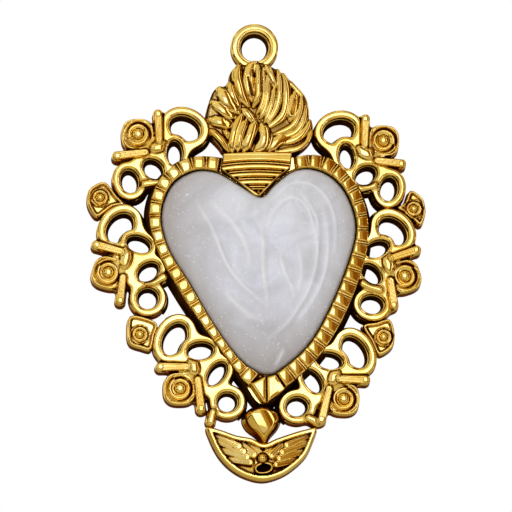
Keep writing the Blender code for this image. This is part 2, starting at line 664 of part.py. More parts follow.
def make_flame():
    """Flame: a slab with overlapping rounded tongues, cleared for the eye, the band and two curls."""
    slab = raised_plate([smooth_loop(FLAME, 2)], FLAME_FOOT, FLAME_SLAB, FLAME_EDGE)
    tongues = []
    for tip, bend, root, share in FLAME_TONGUES:
        radius = TONGUE_RADIUS * share
        near = (tip[0] * 0.7 + bend[0] * 0.3, tip[1] * 0.7 + bend[1] * 0.3)
        levels = (FLAME_SLAB - TONGUE_DIP, FLAME_SLAB + TONGUE_RISE / 2, FLAME_SLAB + TONGUE_RISE, FLAME_SLAB)
        route = [(x, level, z) for (x, z), level in zip((tip, near, bend, root), levels)]
        tongues.append(tongue(route, [radius * 0.45, radius * 0.9, radius, radius * 0.6]))
    flame = combine(slab, tongues, "UNION")
    clear = EYE_OUTER_RADIUS + SEAT_GAP
    eye_front = BACK_BEHIND_EYE + EYE_DEPTH / 2 + SEAT_GAP
    high = FLAME_SLAB + 2 * OVERSHOOT
    cuts = [
        plate([oval((0.0, 0.0, clear, clear, 0.0), 0.0, EYE_STEPS)], -OVERSHOOT, eye_front),
        plate([crown_outline(SEAT_GAP)], -OVERSHOOT, high)]
    for name in ("scroll_left_1", "scroll_right_1"):
        curl = oval(SCROLLS[name]["curl"], LOOP_STRAND + SEAT_GAP, LOOP_STEPS)
        cuts.append(plate([curl], -OVERSHOOT, high))
    flame = combine(flame, cuts, "DIFFERENCE")
    return flat_back(flame, FLAME_FOOT)


def rosette_profile(radius, rise):
    """Ball, groove, ring, groove and edge of a rosette, from the top centre outward and down."""
    shares = [
        (0.0, 1.0), (0.2, 0.85), (0.32, 0.15), (0.47, 0.62), (0.62, 0.55), (0.72, 0.0), (0.88, 0.35),
        (1.0, 0.0)]
    front = [(across * radius, up * rise) for across, up in shares]
    return front + [(radius, -ROSETTE_SINK), (0.0, -ROSETTE_SINK)]


def ring_loops(shape, width, steps):
    """Outer and inner outline of a strand that runs round an oval hole."""
    return [oval(shape, width, steps), oval(shape, 0.0, steps)]


def opening(shape, steps):
    """Cutter for an oval hole, wider than the hole, so that the cut ends inside the hole's strand."""
    return plate([oval(shape, FIELD_INSET, steps)], -2 * OVERSHOOT, BORDER_HEIGHT + OVERSHOOT)


def unit_field(unit, tail):
    """Plate that fills a unit between its members, open where the holes are."""
    corners = [unit[key][:2] for key in ("curl", "rosette", "ring", "hole_b", "hole_a")]
    holes = (("curl", LOOP_STEPS), ("hole_a", WEB_STEPS), ("hole_b", WEB_STEPS), ("ring", RING_STEPS))
    cuts = [opening(unit[key], steps) for key, steps in holes]
    return combine(plate([corners], -tail, BORDER_HEIGHT - FIELD_DROP), cuts, "DIFFERENCE")


def curl_tongue(unit, tail):
    """Tongue that reaches into the curl's hole."""
    outline = capsule(unit["tip"], unit["hole_a"][:2], TIP_WIDTH)
    body = raised_plate([outline], 0.0, BORDER_HEIGHT - TIP_DROP, PLATE_ROUND, tail)
    return combine(body, [opening(unit["hole_a"], WEB_STEPS)], "DIFFERENCE")


def make_unit(unit):
    """One scroll unit of the border, from its curl to its round ring."""
    plate_top = BORDER_HEIGHT - ROSETTE_SINK
    bar_top = BORDER_HEIGHT + BAR_RISE
    web_top = BORDER_HEIGHT - WEB_DROP
    web_round = STRAND_ROUND * WEB_STRAND
    ring_round = STRAND_ROUND * RING_STRAND
    curl = ring_loops(unit["curl"], LOOP_STRAND, LOOP_STEPS)
    hole_a = ring_loops(unit["hole_a"], WEB_STRAND, WEB_STEPS)
    hole_b = ring_loops(unit["hole_b"], WEB_STRAND, WEB_STEPS)
    ring = ring_loops(unit["ring"], RING_STRAND, RING_STEPS)
    pad = oval((*unit["pad"], PAD_RADIUS, PAD_RADIUS, 0.0), 0.0, PAD_STEPS)
    core = capsule(unit["bar_one"][1], unit["bar_two"][1], CORE_WIDTH)
    shapes = [
        (curl, BORDER_HEIGHT, BORDER_ROUND),
        (hole_a, web_top, web_round),
        (hole_b, web_top - WEB_STEP, web_round),
        (ring, BORDER_HEIGHT - RING_DROP, ring_round),
        ([cushion(unit["rosette"], ROSETTE_PLATE, *unit["bar_one"])], plate_top, PLATE_ROUND),
        ([capsule(*unit["bar_one"], BAR_WIDTH)], bar_top, BAR_ROUND),
        ([capsule(*unit["bar_two"], BAR_WIDTH)], bar_top - BAR_STEP, BAR_ROUND),
        ([capsule(*unit["foot"], BAR_WIDTH)], BORDER_HEIGHT - FOOT_DROP, BAR_ROUND),
        ([pad], BORDER_HEIGHT + PAD_RISE, PLATE_ROUND),
        ([core], BORDER_HEIGHT - CORE_DROP, PLATE_ROUND)]
    members = []
    tail = FIRST_TAIL
    for loops, top, edge in shapes:
        members.append(raised_plate(loops, 0.0, top, edge, tail))
        tail += TAIL_STEP
    profile = rosette_profile(ROSETTE_RADIUS, ROSETTE_RISE)
    members.append(turned(profile, unit["rosette"], plate_top + ROSETTE_LIFT, ROSETTE_STEPS))
    members.append(unit_field(unit, tail))
    members.append(curl_tongue(unit, tail + TAIL_STEP))
    body = flat_back(combine(members[0], members[1:], "UNION"), 0.0)
    clearance = plate([cup_outline(SEAT_GAP)], -OVERSHOOT, BORDER_HEIGHT + 2 * OVERSHOOT)
    return combine(body, [clearance], "DIFFERENCE")


def make_link(name):
    """Small rosette on its own web, fitted between one unit's ring and the next unit's curl."""
    centre, outline = WEBS[name]
    side = name.split("_")[1]
    upper = 1 if name.endswith("upper") else 2
    level = BORDER_HEIGHT - LINK_DROP
    base = raised_plate([smooth_loop(outline, 2)], 0.0, level, PLATE_ROUND)
    profile = rosette_profile(SMALL_ROSETTE, ROSETTE_RISE)
    boss = turned(profile, centre, level + ROSETTE_LIFT, SMALL_ROSETTE_STEPS)
    link = flat_back(combine(base, [boss], "UNION"), 0.0)
    ring = oval(SCROLLS[f"scroll_{side}_{upper}"]["ring"], RING_STRAND + SEAT_GAP, RING_STEPS)
    curl = oval(SCROLLS[f"scroll_{side}_{upper + 1}"]["curl"], LOOP_STRAND + SEAT_GAP, LOOP_STEPS)
    cuts = [plate([loop], -OVERSHOOT, BORDER_HEIGHT + 2 * OVERSHOOT) for loop in (ring, curl)]
    return combine(link, cuts, "DIFFERENCE")


def make_bud():
    """Tulip-shaped bud, turned about the vertical in a few flat faces and flattened front to back."""
    profile = [(BUD_RADIUS * across, -BUD_LENGTH * down) for across, down in BUD_SHARES]
    level = BUD_DEPTH / 2 + BUD_LIFT
    bud = settle(turned(profile, SPOTS["bud"], level, BUD_FACES, facing_front=False))
    for corner in bud.data.vertices:
        corner.co.y = depth(level) + (corner.co.y - depth(level)) * BUD_DEPTH / (2 * BUD_RADIUS)
    clearance = plate([cup_outline(SEAT_GAP)], -OVERSHOOT, BORDER_HEIGHT + 3 * OVERSHOOT)
    return combine(bud, [clearance], "DIFFERENCE")


def make_plaque():
    """Shield with a raised rim, spread feathers, a small head and the hollow under it."""
    outline = smooth_loop(PLAQUE, 2)
    rim_top = PLAQUE_HEIGHT + PLAQUE_RIM_RISE
    inner = drawn_in(outline, SPOTS["plaque"], PLAQUE_RIM)
    field = plate([inner], PLAQUE_HEIGHT, rim_top + OVERSHOOT)
    shield = combine(plate([outline], 0.0, rim_top), [field], "DIFFERENCE")
    added = []
    level = PLAQUE_HEIGHT + FEATHER_LEVEL
    for tip, root, share in WINGS:
        radius = FEATHER_RADIUS * share
        middle = ((tip[0] + root[0]) / 2, (tip[1] + root[1]) / 2)
        levels = (level, level + FEATHER_RISE, level + FEATHER_RISE)
        route = [(x, height, z) for (x, z), height in zip((tip, middle, root), levels)]
        added.append(tongue(route, [radius * 0.7, radius, radius * 0.9]))
    head = [(HEAD_RADIUS * across, HEAD_RADIUS * up) for across, up in HEAD_SHARES]
    head += [(HEAD_RADIUS, -ROSETTE_SINK), (0.0, -ROSETTE_SINK)]
    added.append(turned(head, SPOTS["head"], PLAQUE_HEIGHT, SMALL_ROSETTE_STEPS))
    lip = oval(ROUNDS["hollow"], 0.0, RING_STEPS)
    added.append(plate([lip], PLAQUE_HEIGHT - ROSETTE_SINK, PLAQUE_HEIGHT + HOLLOW_RISE))
    shield = combine(shield, added, "UNION")
    hollow = oval(ROUNDS["hollow"], -HOLLOW_WALL, RING_STEPS)
    return combine(shield, [plate([hollow], PLAQUE_HEIGHT - HOLLOW_DEPTH, rim_top + OVERSHOOT)], "DIFFERENCE")


# The drawn tables at the charm's own size
SIZE_RATIO = (CHARM_LENGTH - EYE_OUTER_RADIUS) / -min(z for x, z in PLAQUE_POINTS)
HEART = to_size(HEART_POINTS, SIZE_RATIO)
CUP = to_size(CUP_POINTS, SIZE_RATIO)
FLAME = to_size(FLAME_POINTS, SIZE_RATIO)
FLAME_TONGUES = to_size(TONGUES, SIZE_RATIO)
CROWN = to_size(CROWN_POINTS, SIZE_RATIO)
RIBS = to_size(CROWN_RIBS, SIZE_RATIO)
KEYS = to_size(KEYSTONES, SIZE_RATIO)
BEAD_RUNS = to_size(RIM_ENDS, SIZE_RATIO)
PLAQUE = to_size(PLAQUE_POINTS, SIZE_RATIO)
WINGS = to_size(FEATHERS, SIZE_RATIO)
SPOTS = to_size(PLACES, SIZE_RATIO)
ROUNDS = to_size(OVALS, SIZE_RATIO)
SCROLLS = to_size(UNITS, SIZE_RATIO)
WEBS = to_size(LINKS, SIZE_RATIO)

clear_scene()
parts = new_collection("heart_charm")

publish(make_cup(), "bezel_cup", "shaded_gold", 35.0)
publish(make_glue(), "adhesive_bed", "clear_glue")
publish(make_stone(), "heart_cabochon", "pearl")
publish(make_rim(), "beaded_rim", "polished_gold", 35.0)
publish(make_crown(), "crown_band", "polished_gold")
publish(make_eye(), "bail_ring", "polished_gold")
publish(make_flame(), "flame_crest", "polished_gold")
for unit_name, unit_shape in SCROLLS.items():
    publish(make_unit(unit_shape), unit_name, "polished_gold")
for link_name in WEBS:
    publish(make_link(link_name), link_name, "polished_gold")
publish(make_bud(), "bud_drop", "polished_gold", 25.0)
publish(make_plaque(), "wing_plaque", "polished_gold")
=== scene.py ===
"""Looks of the heart charm: cast gilt scrolls, beaded bezel and pearl heart, on a white ground.

Lengths are millimetres in the part's own frame until they meet a mesh: X to the right, Z up.
Heights are measured forward from the flat back, as in the part.
"""
import math

import bpy
import numpy as np
from mathutils import Matrix, Vector


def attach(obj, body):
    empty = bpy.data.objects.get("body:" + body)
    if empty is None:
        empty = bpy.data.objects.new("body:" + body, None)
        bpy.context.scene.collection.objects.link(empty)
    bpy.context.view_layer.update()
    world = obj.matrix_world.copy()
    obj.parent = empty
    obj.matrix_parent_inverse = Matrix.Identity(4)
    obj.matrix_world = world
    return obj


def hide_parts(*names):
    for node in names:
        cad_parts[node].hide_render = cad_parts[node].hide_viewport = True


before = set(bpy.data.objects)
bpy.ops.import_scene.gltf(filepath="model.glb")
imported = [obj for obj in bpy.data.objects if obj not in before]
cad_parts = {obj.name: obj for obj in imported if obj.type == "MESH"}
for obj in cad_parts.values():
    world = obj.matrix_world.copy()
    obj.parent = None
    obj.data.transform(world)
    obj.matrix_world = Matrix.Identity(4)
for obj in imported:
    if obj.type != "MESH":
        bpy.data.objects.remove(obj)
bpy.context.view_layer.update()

MM = 0.001

# Steps of the grids that the pieces are worked out on, and the room round each outline
GRID, FINE_GRID, RIM_GRID, SMALL_GRID, STONE_GRID, CUP_GRID = 0.07, 0.06, 0.065, 0.08, 0.12, 0.16
MARGIN, WIDE_MARGIN, FLAME_MARGIN, CUP_MARGIN, UNIT_MARGIN = 0.6, 0.8, 1.0, 1.2, 4.2

# Points on each span of a smooth line, of the stone's and cup's outlines, and of the rim
LINE_STEPS, LOOP_STEPS, STATION_STEPS = 4, 6, 12

# Heights, drafts and the gaps that neighbours keep
BACK_BEHIND_EYE = 1.5
BORDER_HEIGHT = 3.2
RAISED_BACK = 0.4
CUP_HEIGHT = 3.0
CUP_FLOOR = 1.2
CUP_FLARE = 0.75
CUP_INSET = 0.05
CUP_INNER_EDGE = 0.1
RIM_TOP = 3.6
RIM_BACK = CUP_HEIGHT + 0.05
RIM_DRAFT = 0.05
WALL_DRAFT = 0.15
HOLE_DRAFT = 0.35
SEAM = 0.04
LINK_SEAM = 0.05

# Relief meshes: how points at an outline are taken and moved, in steps of the grid, and the least depth
INSIDE_STEPS = 0.3
SNAP_STEPS = 1.5
HOLE_STEPS = 2
LEAST_SLOPE = 0.3
LEAST_DEPTH = 0.3
SNUG_REACH = 0.5
# Share of the height and of the draft at each ring of points down a wall
WALL_RINGS = ((0.82, 0.22), (0.45, 0.6), (0.0, 1.0))
SHARP_ANGLE = 60
SOFT_CELLS = 0.5

# Painted shade in hollows and creases: how deep they count, and cells and gain of the broad and fine ones
HOLLOW_REACH = 2.2
BROAD_CELLS, BROAD_GAIN = 3, 3.2
FINE_CELLS, FINE_GAIN, FINE_START = 1.5, 12.0, 0.15
WALL_HOLLOW, BACK_HOLLOW, BACK_SIDE = 0.25, 0.1, 0.5

# A strand is given as half width, belly, lip and fall, and its profile as the last three; a groove as depth,
# place and half width; a roll as drop and reach; a dome's shape as radius and drop. A melt is the width over
# which one form runs into the next.
LOOP_STRAND = 1.05
WEB_STRAND = 0.85
RING_STRAND = 0.95
STRAND_MELTS = (0.8, 1.6, 1.0, 0.9)
FLAT_STRAND = (0.55, 0.035, 0.16, 0.26)
HOLE_GROOVE = (0.07, 0.2, 0.09)
TONGUE, TONGUE_MELT = 0.72, 0.3
EDGE_MELT = 0.2
HUMP_START, HUMP_END, HUMP_OVERRUN, HUMP_HALF = 0.65, 0.6, 0.5, 0.88
HUMP_CLEAR, HUMP_RISE, HUMP_MELT = 0.16, 0.4, 0.5
HUMP_STRAND, HUMP_GROOVE = (0.9, 0.16, 0.3, 0.2), (0.05, 0.05, 0.12)
FOOT_RADII, FOOT_CLEAR, FOOT_RISE, FOOT_MELT = (0.55, 0.6), 0.12, 0.25, 0.35
FOOT_STRAND, FOOT_GROOVE = (0.5, 0.25, 0.16, 0.2), (0.08, 0.06, 0.08)
BAR_RADII, BAR_MELT = (0.6, 0.475), 0.8
BAR_RISES = {"bar_one": 0.38, "bar_two": 0.33}
BAR_STRAND, BAR_SEAM = (0.5, 0.1, 0.14, 0.4), (0.14, 0.08, 0.1)
BAR_GROOVE, BAR_GROOVE_START = (0.09, 0.14, 0.14), 0.1
DARK_REACH, CUP_SIDE, FAR = 3.2, 0.6, 9.0

# Rosettes, the plaques under them and the small rosettes' webs
ROSETTE_PLATE, PLATE_POWER, PLATE_MELT = 2.08, 2.7, 0.6
ROSETTE_SINK, ROSETTE_RADIUS, ROSETTE_RISE = 0.55, 1.7, 0.95
PLATE_RIM, PLATE_RIM_RISE, PLATE_EDGE, PLATE_EDGE_RISE = 0.17, 0.5, 0.5, 0.3
WEB_SINK, WEB_RIM, WEB_RIM_RISE = 0.6, 0.2, 0.45
SMALL_RADIUS, SMALL_RISE, SMALL_TURN = 1.2, 0.85, 1.0
SMALL_DISH, DISH_DEPTH = 1.25, 0.1
RIM_PROFILE = (0.05, 0.1, 0.25)
# The wound band, in shares of radius and rise: its height at each distance, its winding and its grooves
BAND_AT = (0.3, 0.42, 0.6, 0.74, 0.84, 0.94, 1.02, 1.14, 1.24)
BAND_HEIGHTS = (0.44, 0.46, 0.5, 0.64, 0.62, 0.25, 0.3, 0.5, 0.2)
BAND_WIND, DEEP_SIDE = 0.13, 40
BAND_GROOVE, BALL_GROOVE = (0.3, 0.95, 0.08), (0.12, 0.42, 0.05)
BALL_SHARE, BALL_EDGE, BALL_RISE = 0.4, 0.6, 0.34

# Rim of beads
BEAD_ROWS = (((5.75, -15.6), (2.9, -43.6)), ((-5.9, -15.7), (-1.5, -43.4)))
BEAD_PITCH = 1.82
BEAD_LENGTH = 1.38
BEAD_HEIGHT = 0.8
BEAD_MIDDLE = 0.51
BEAD_WIDTH = 0.96
BEAD_REACH = 2.0
BEAD_CORNER = 0.1
BEAD_BEVEL, BEAD_DROP, BEAD_FALL = 0.18, 0.06, 4.0
BEAD_DOME = 0.075
BEAD_TILT = 0.06
BEAD_TURN = 0.0035
RIB_HALF, RIB_HEIGHT, RIB_FALL = 0.07, 0.55, 3.0
KEY_BEVEL, KEY_DROP, KEY_TILT = 0.3, 0.12, 0.05
RIM_INSET, RIM_CROWN_GAP, RIM_SINK, RIM_SNUG = 0.02, 0.08, 0.2, 0.3
LIP_PLACE, LIP_RISE, LIP_STRAND = 0.1, 0.25, (0.07, 0.05, 0.06, 0.3)

# Ribbed band over the notch
CROWN_GROOVES = (-15.6, -16.7, -17.7, -18.75, -19.5)
CROWN_SIDES = (((-4.7, -16.7), (-2.6, -18.25), (-0.2, -19.9)), ((4.3, -16.4), (2.3, -17.9), (0.3, -19.9)))
CROWN_BOW, CROWN_MIDDLE, CROWN_RIB = 0.016, -0.3, 0.5
CROWN_RISE, CROWN_RIB_RISE = 0.5, 0.34
CROWN_TWIN_GROOVE, CROWN_GROOVE, CROWN_HEM = (0.5, 0.17, 0.1), (0.1, 0.0, 0.12), (0.12, -14.75, 0.08)
CROWN_SLOPE, CROWN_SLOPE_START, SLOPE_LENGTH = 0.2, -15.4, 2
CROWN_SIDE_RISE, CROWN_STRAND = 0.9, (0.3, 0.15, 0.12, 0.4)
CROWN_TOP, CROWN_EDGE_SHAPE, CROWN_CELLS = 1.0, (0.2, 0.5), 0.6

# Flame; its tilt is how much lower it gets to the right, for each millimetre
FLAME_TILT = 0.075
FLAME_TOP = -2.05
FLAME_SLAB, FLAME_BED, FLAME_ROLL = 3.15, 0.1, (0.3, 0.5)
FLAME_INSET, FLAME_OVERHANG = 0.05, 0.35
TUFT_SWELL, TIP_TAPER, ROOT_TAPER, TUFT_MELT = 1.2, (0.6, 2.6), (0.55, 2.2), 0.12
TUFT_LIFT, TUFT_ARCH, TUFT_CREST = 0.2, 0.5, 0.9
TUFT_PROFILE = (0.2, 0.17, 0.48, 0.9)
LENS_DEPTH, LENS_TAPER = 0.35, 0.6
# Painted shade on the flame's low parts: the height over the slab under which it starts, and the depth over
# which it grows to full
PAINTED_SHADE_HEIGHT, PAINTED_SHADE_SPAN = 0.28, 0.35

# Hanging eye
EYE_HOLE_RADIUS = 1.95
EYE_OUTER_RADIUS = 3.1
EYE_MIDDLE = (-0.1, 0.05)
EYE_TOP = 2.6
EYE_DRAFT = 0.02
EYE_STRAND, EYE_GROOVE = (0.55, 0.035, 0.2, 0.3), (0.1, 0.3, 0.08)

# Bud under the heart: how its faces fall from the ridge, and how its length bows from the waist
BUD_RIDGE = ((-1.3, -48.5), (0.2, -51.7))
BUD_TOP = 3.9
BUD_LEFT_FALL, BUD_RIGHT_FALL, BUD_UPPER_FALL, BUD_SLANT = 0.7, 0.02, 0.2, 0.06
BUD_BOW, BUD_WAIST, BUD_ROLL, BUD_CELLS = 0.03, -49.0, (0.9, 0.7), 1.2

# Winged plaque
PLAQUE_LEVEL, PLAQUE_INSET = 2.0, 0.1
PLAQUE_RIM, PLAQUE_RIM_RISE, PLAQUE_RIM_SHAPE = 0.62, 1.0, (0.25, 0.3)
PLAQUE_SWELL, PLAQUE_SWELL_START = 0.2, 0.7
FEATHER_TAPER, FEATHER_LIFT, FEATHER_RISE = (1.1, 1.3), 0.3, 0.35
FEATHER_PROFILE, FEATHER_GROOVE = (0.1, 0.12, 0.2), (0.06, 0.12, 0.08)
HEAD, HEAD_RADIUS, HEAD_LIFT, HEAD_RISE = (0.0, -54.0), 0.62, 0.7, 0.45
HEAD_GROOVE = (0.3, 0.66, 0.08)
HOLLOW = (0.15, -55.25, 0.85, 0.42, 8.0)
HOLLOW_LIP, HOLLOW_LIP_RISE, HOLLOW_LIP_PROFILE = 0.2, 0.55, (0.08, 0.12, 0.3)
# Depth and slope of the hollow under the head, and how far past its edge the painted shade reaches
HOLLOW_DEPTH, HOLLOW_SLOPE, HOLLOW_PAINTED_SHADE = 0.9, 0.6, 0.05

# Stone: its dome as middle, halves and rise over its back, its edge and the strength of its veins
STONE_BACK, STONE_RISE, STONE_MIDDLE, STONE_HALVES = 1.6, 3.85, -28.5, (19.0, 21.0)
STONE_INSET, STONE_ROLL, STONE_SHOULDER, SHOULDER_REACH, SHOULDER_CELLS = 0.1, (0.45, 0.35), 0.4, 3.2, 4
LEAST_DOME = 0.02
VEIN_RISE, VEIN_STRENGTH, VEIN_WIDTH = 1.3, 0.45, 1.2
GLITTER_WAVES, GLITTER_STRENGTH = 6000.0, 0.3
# Painted shade on the pearl, darker to the left, towards the foot and to the right: where each starts, over
# what length it grows, and its share
SHADE_LEFT, SHADE_FOOT, SHADE_RIGHT = (-3.0, 9, 0.9), (-31, 11, 0.8), (5, 7, 0.4)

# Outline of the bud under the heart
BUD_POINTS = [
    (-0.6, -47.2), (0.9, -47.2), (2.0, -47.8), (2.45, -48.9), (2.0, -50.1), (1.1, -51.1), (0.25, -52.1),
    (-0.8, -51.1), (-2.0, -50.1), (-2.45, -48.9), (-1.9, -47.9)]
# The stone's edge, clockwise from the notch, and the cup's outer wall, clockwise from the band
HEART_POINTS = [
    (0.3, -20.2), (2.0, -18.7), (4.3, -16.9), (6.7, -16.4), (9.3, -17.3), (11.3, -19.4), (12.5, -22.5),
    (12.6, -25.3), (11.4, -29.3), (9.3, -34.2), (6.6, -39.0), (3.4, -42.1), (0.8, -43.35), (-2.5, -41.6),
    (-6.0, -36.8), (-9.0, -31.5), (-11.8, -26.7), (-12.7, -22.3), (-11.3, -18.4), (-8.4, -16.6),
    (-5.4, -16.8), (-2.4, -18.6)]
CUP_POINTS = [
    (4.2, -14.9), (7.0, -14.65), (9.6, -15.3), (11.9, -17.4), (13.5, -20.3), (14.2, -23.9), (13.8, -28.0),
    (12.2, -32.8), (10.1, -37.2), (7.4, -41.1), (4.2, -44.1), (0.2, -47.1), (-2.3, -44.1), (-4.7, -40.7),
    (-7.5, -36.8), (-10.4, -32.3), (-13.1, -27.2), (-14.2, -22.4), (-13.1, -18.2), (-10.2, -15.4),
    (-7.2, -14.7), (-4.4, -14.9)]
FLAME_POINTS = [
    (0.0, -2.1), (1.9, -2.6), (4.1, -4.1), (5.9, -6.3), (6.7, -9.0), (7.1, -11.1), (6.2, -12.9),
    (4.0, -14.15), (0.0, -14.2), (-3.6, -14.15), (-4.9, -12.7), (-6.5, -11.2), (-6.7, -9.4), (-6.2, -7.4),
    (-5.5, -5.8), (-3.7, -5.0), (-3.1, -3.1)]
PLAQUE_POINTS = [
    (7.15, -50.1), (6.6, -52.0), (5.7, -53.8), (4.3, -55.2), (2.4, -56.4), (0.0, -57.0), (-2.4, -56.4),
    (-4.3, -55.2), (-5.7, -53.6), (-6.7, -51.6), (-7.15, -49.8), (-5.2, -50.2), (-3.3, -50.9), (-1.3, -51.3),
    (0.2, -52.0), (1.8, -51.4), (3.6, -50.8), (5.4, -50.3)]
KEYSTONES = [
    [(0.5, -43.6), (-1.4, -44.5), (0.1, -46.8), (0.5, -46.95)],
    [(0.75, -43.7), (1.8, -43.4), (2.95, -45.2), (0.75, -46.85)]]
# Outline of the ribbed band
CROWN_EDGE = [
    (-4.45, -14.4), (0.0, -14.2), (4.45, -14.4), (4.2, -16.4), (2.6, -17.6), (0.2, -20.1), (-0.5, -20.1),
    (-2.6, -18.2), (-4.8, -16.5)]

# Tufts of the flame: points from the tip to the root, half width, height over the slab
TUFTS = [
    ([(4.1, -4.6), (5.0, -5.6), (6.0, -6.8), (6.6, -8.4)], 0.34, 0.35),
    ([(7.1, -11.3), (6.5, -12.9), (5.0, -13.8), (2.4, -14.1)], 0.42, 0.45),
    ([(4.9, -12.2), (3.2, -12.4), (2.2, -13.1), (1.6, -14.0)], 0.66, 0.4),
    ([(6.9, -10.0), (6.5, -11.1), (5.3, -12.3), (3.4, -13.0)], 0.45, 0.5),
    ([(6.3, -7.8), (6.3, -9.2), (5.9, -10.5), (4.9, -11.6), (2.8, -12.3)], 0.45, 0.55),
    ([(5.9, -6.8), (5.8, -8.5), (5.2, -10.0), (4.2, -11.0), (2.2, -11.8)], 0.42, 0.6),
    ([(5.0, -6.3), (4.95, -7.6), (4.7, -8.8), (4.3, -9.9)], 0.62, 0.6),
    ([(3.5, -3.9), (3.9, -5.5), (3.9, -7.5), (3.3, -9.4), (1.4, -10.9)], 0.52, 0.5),
    ([(2.8, -3.3), (3.1, -5.0), (3.0, -6.7), (2.5, -8.5), (1.4, -10.3)], 0.42, 0.6),
    ([(2.3, -5.6), (2.1, -7.3), (1.6, -8.9), (1.0, -10.2)], 0.4, 0.5),
    ([(1.2, -2.6), (1.8, -3.7), (2.3, -4.9), (2.4, -5.8)], 0.42, 0.6),
    ([(1.4, -4.1), (1.5, -6.0), (1.2, -8.0), (0.4, -9.7)], 0.42, 0.55),
    ([(0.9, -3.0), (1.0, -5.2), (0.9, -7.0), (0.5, -8.2), (-0.1, -9.1)], 0.34, 0.55),
    ([(-0.1, -2.3), (-0.9, -3.7), (-1.0, -5.3), (-0.5, -7.3)], 0.72, 0.65),
    ([(0.2, -2.7), (0.25, -4.8), (0.15, -6.8), (-0.5, -8.2)], 0.42, 0.9),
    ([(-2.3, -2.8), (-2.5, -4.1), (-2.2, -5.6), (-1.8, -6.9), (-1.1, -8.0)], 0.56, 0.75),
    ([(-3.5, -5.1), (-3.1, -6.7), (-2.3, -8.4)], 0.5, 0.55),
    ([(-4.8, -5.9), (-4.2, -6.9), (-3.5, -7.9), (-2.5, -8.8)], 0.74, 0.7),
    ([(-5.7, -7.6), (-4.6, -8.5), (-3.8, -9.1), (-2.9, -9.5)], 0.62, 0.6),
    ([(-6.1, -9.9), (-5.0, -10.2), (-4.2, -10.4), (-3.1, -10.5)], 0.66, 0.65),
    ([(-4.4, -11.4), (-4.1, -11.6), (-3.8, -12.0), (-3.6, -12.6)], 0.42, 0.4),
    ([(-6.1, -11.3), (-5.3, -12.0), (-4.4, -13.0), (-3.8, -14.1)], 0.45, 0.5),
    ([(-2.0, -9.3), (-2.8, -11.1), (-3.2, -12.6), (-3.3, -14.1)], 0.56, 0.6),
    ([(-1.4, -9.9), (-2.1, -11.6), (-2.4, -12.9), (-2.6, -14.1)], 0.46, 0.65),
    ([(-0.3, -10.2), (-0.7, -11.5), (-1.3, -12.9), (-1.8, -14.1)], 0.6, 0.7),
    ([(0.6, -10.6), (1.0, -11.9), (0.7, -13.1), (-0.3, -14.1)], 0.66, 0.75),
    ([(1.9, -11.8), (1.7, -12.6), (1.4, -13.3), (0.9, -14.0)], 0.4, 0.45),
    ([(-1.8, -8.5), (-1.2, -9.1), (-0.7, -9.7), (-0.2, -10.4)], 0.5, 0.35)]
# Long dents between the tufts: both ends and half width
LENSES = [
    ((-0.5, -3.3), (-0.3, -4.1), 0.22), ((-1.1, -4.3), (-0.6, -6.6), 0.2), ((5.0, -7.2), (4.6, -9.0), 0.26),
    ((0.2, -11.6), (-0.2, -13.0), 0.16)]

# Feathers of the winged plaque: tip, root and half width
FEATHERS = [
    ((-6.4, -50.6), (-3.0, -52.4), 0.38), ((-6.0, -51.7), (-2.4, -53.1), 0.38),
    ((-5.4, -52.9), (-2.0, -53.8), 0.38), ((-4.5, -54.1), (-1.6, -54.5), 0.36),
    ((-3.0, -51.8), (-1.1, -53.5), 0.42), ((-1.5, -52.1), (-0.4, -53.3), 0.42),
    ((1.4, -52.2), (0.6, -53.3), 0.42), ((2.9, -51.9), (1.2, -53.6), 0.42),
    ((6.4, -50.9), (3.2, -52.3), 0.38), ((6.0, -52.0), (2.6, -53.2), 0.38),
    ((5.4, -53.2), (2.2, -54.0), 0.38), ((4.4, -54.3), (1.8, -54.8), 0.36)]

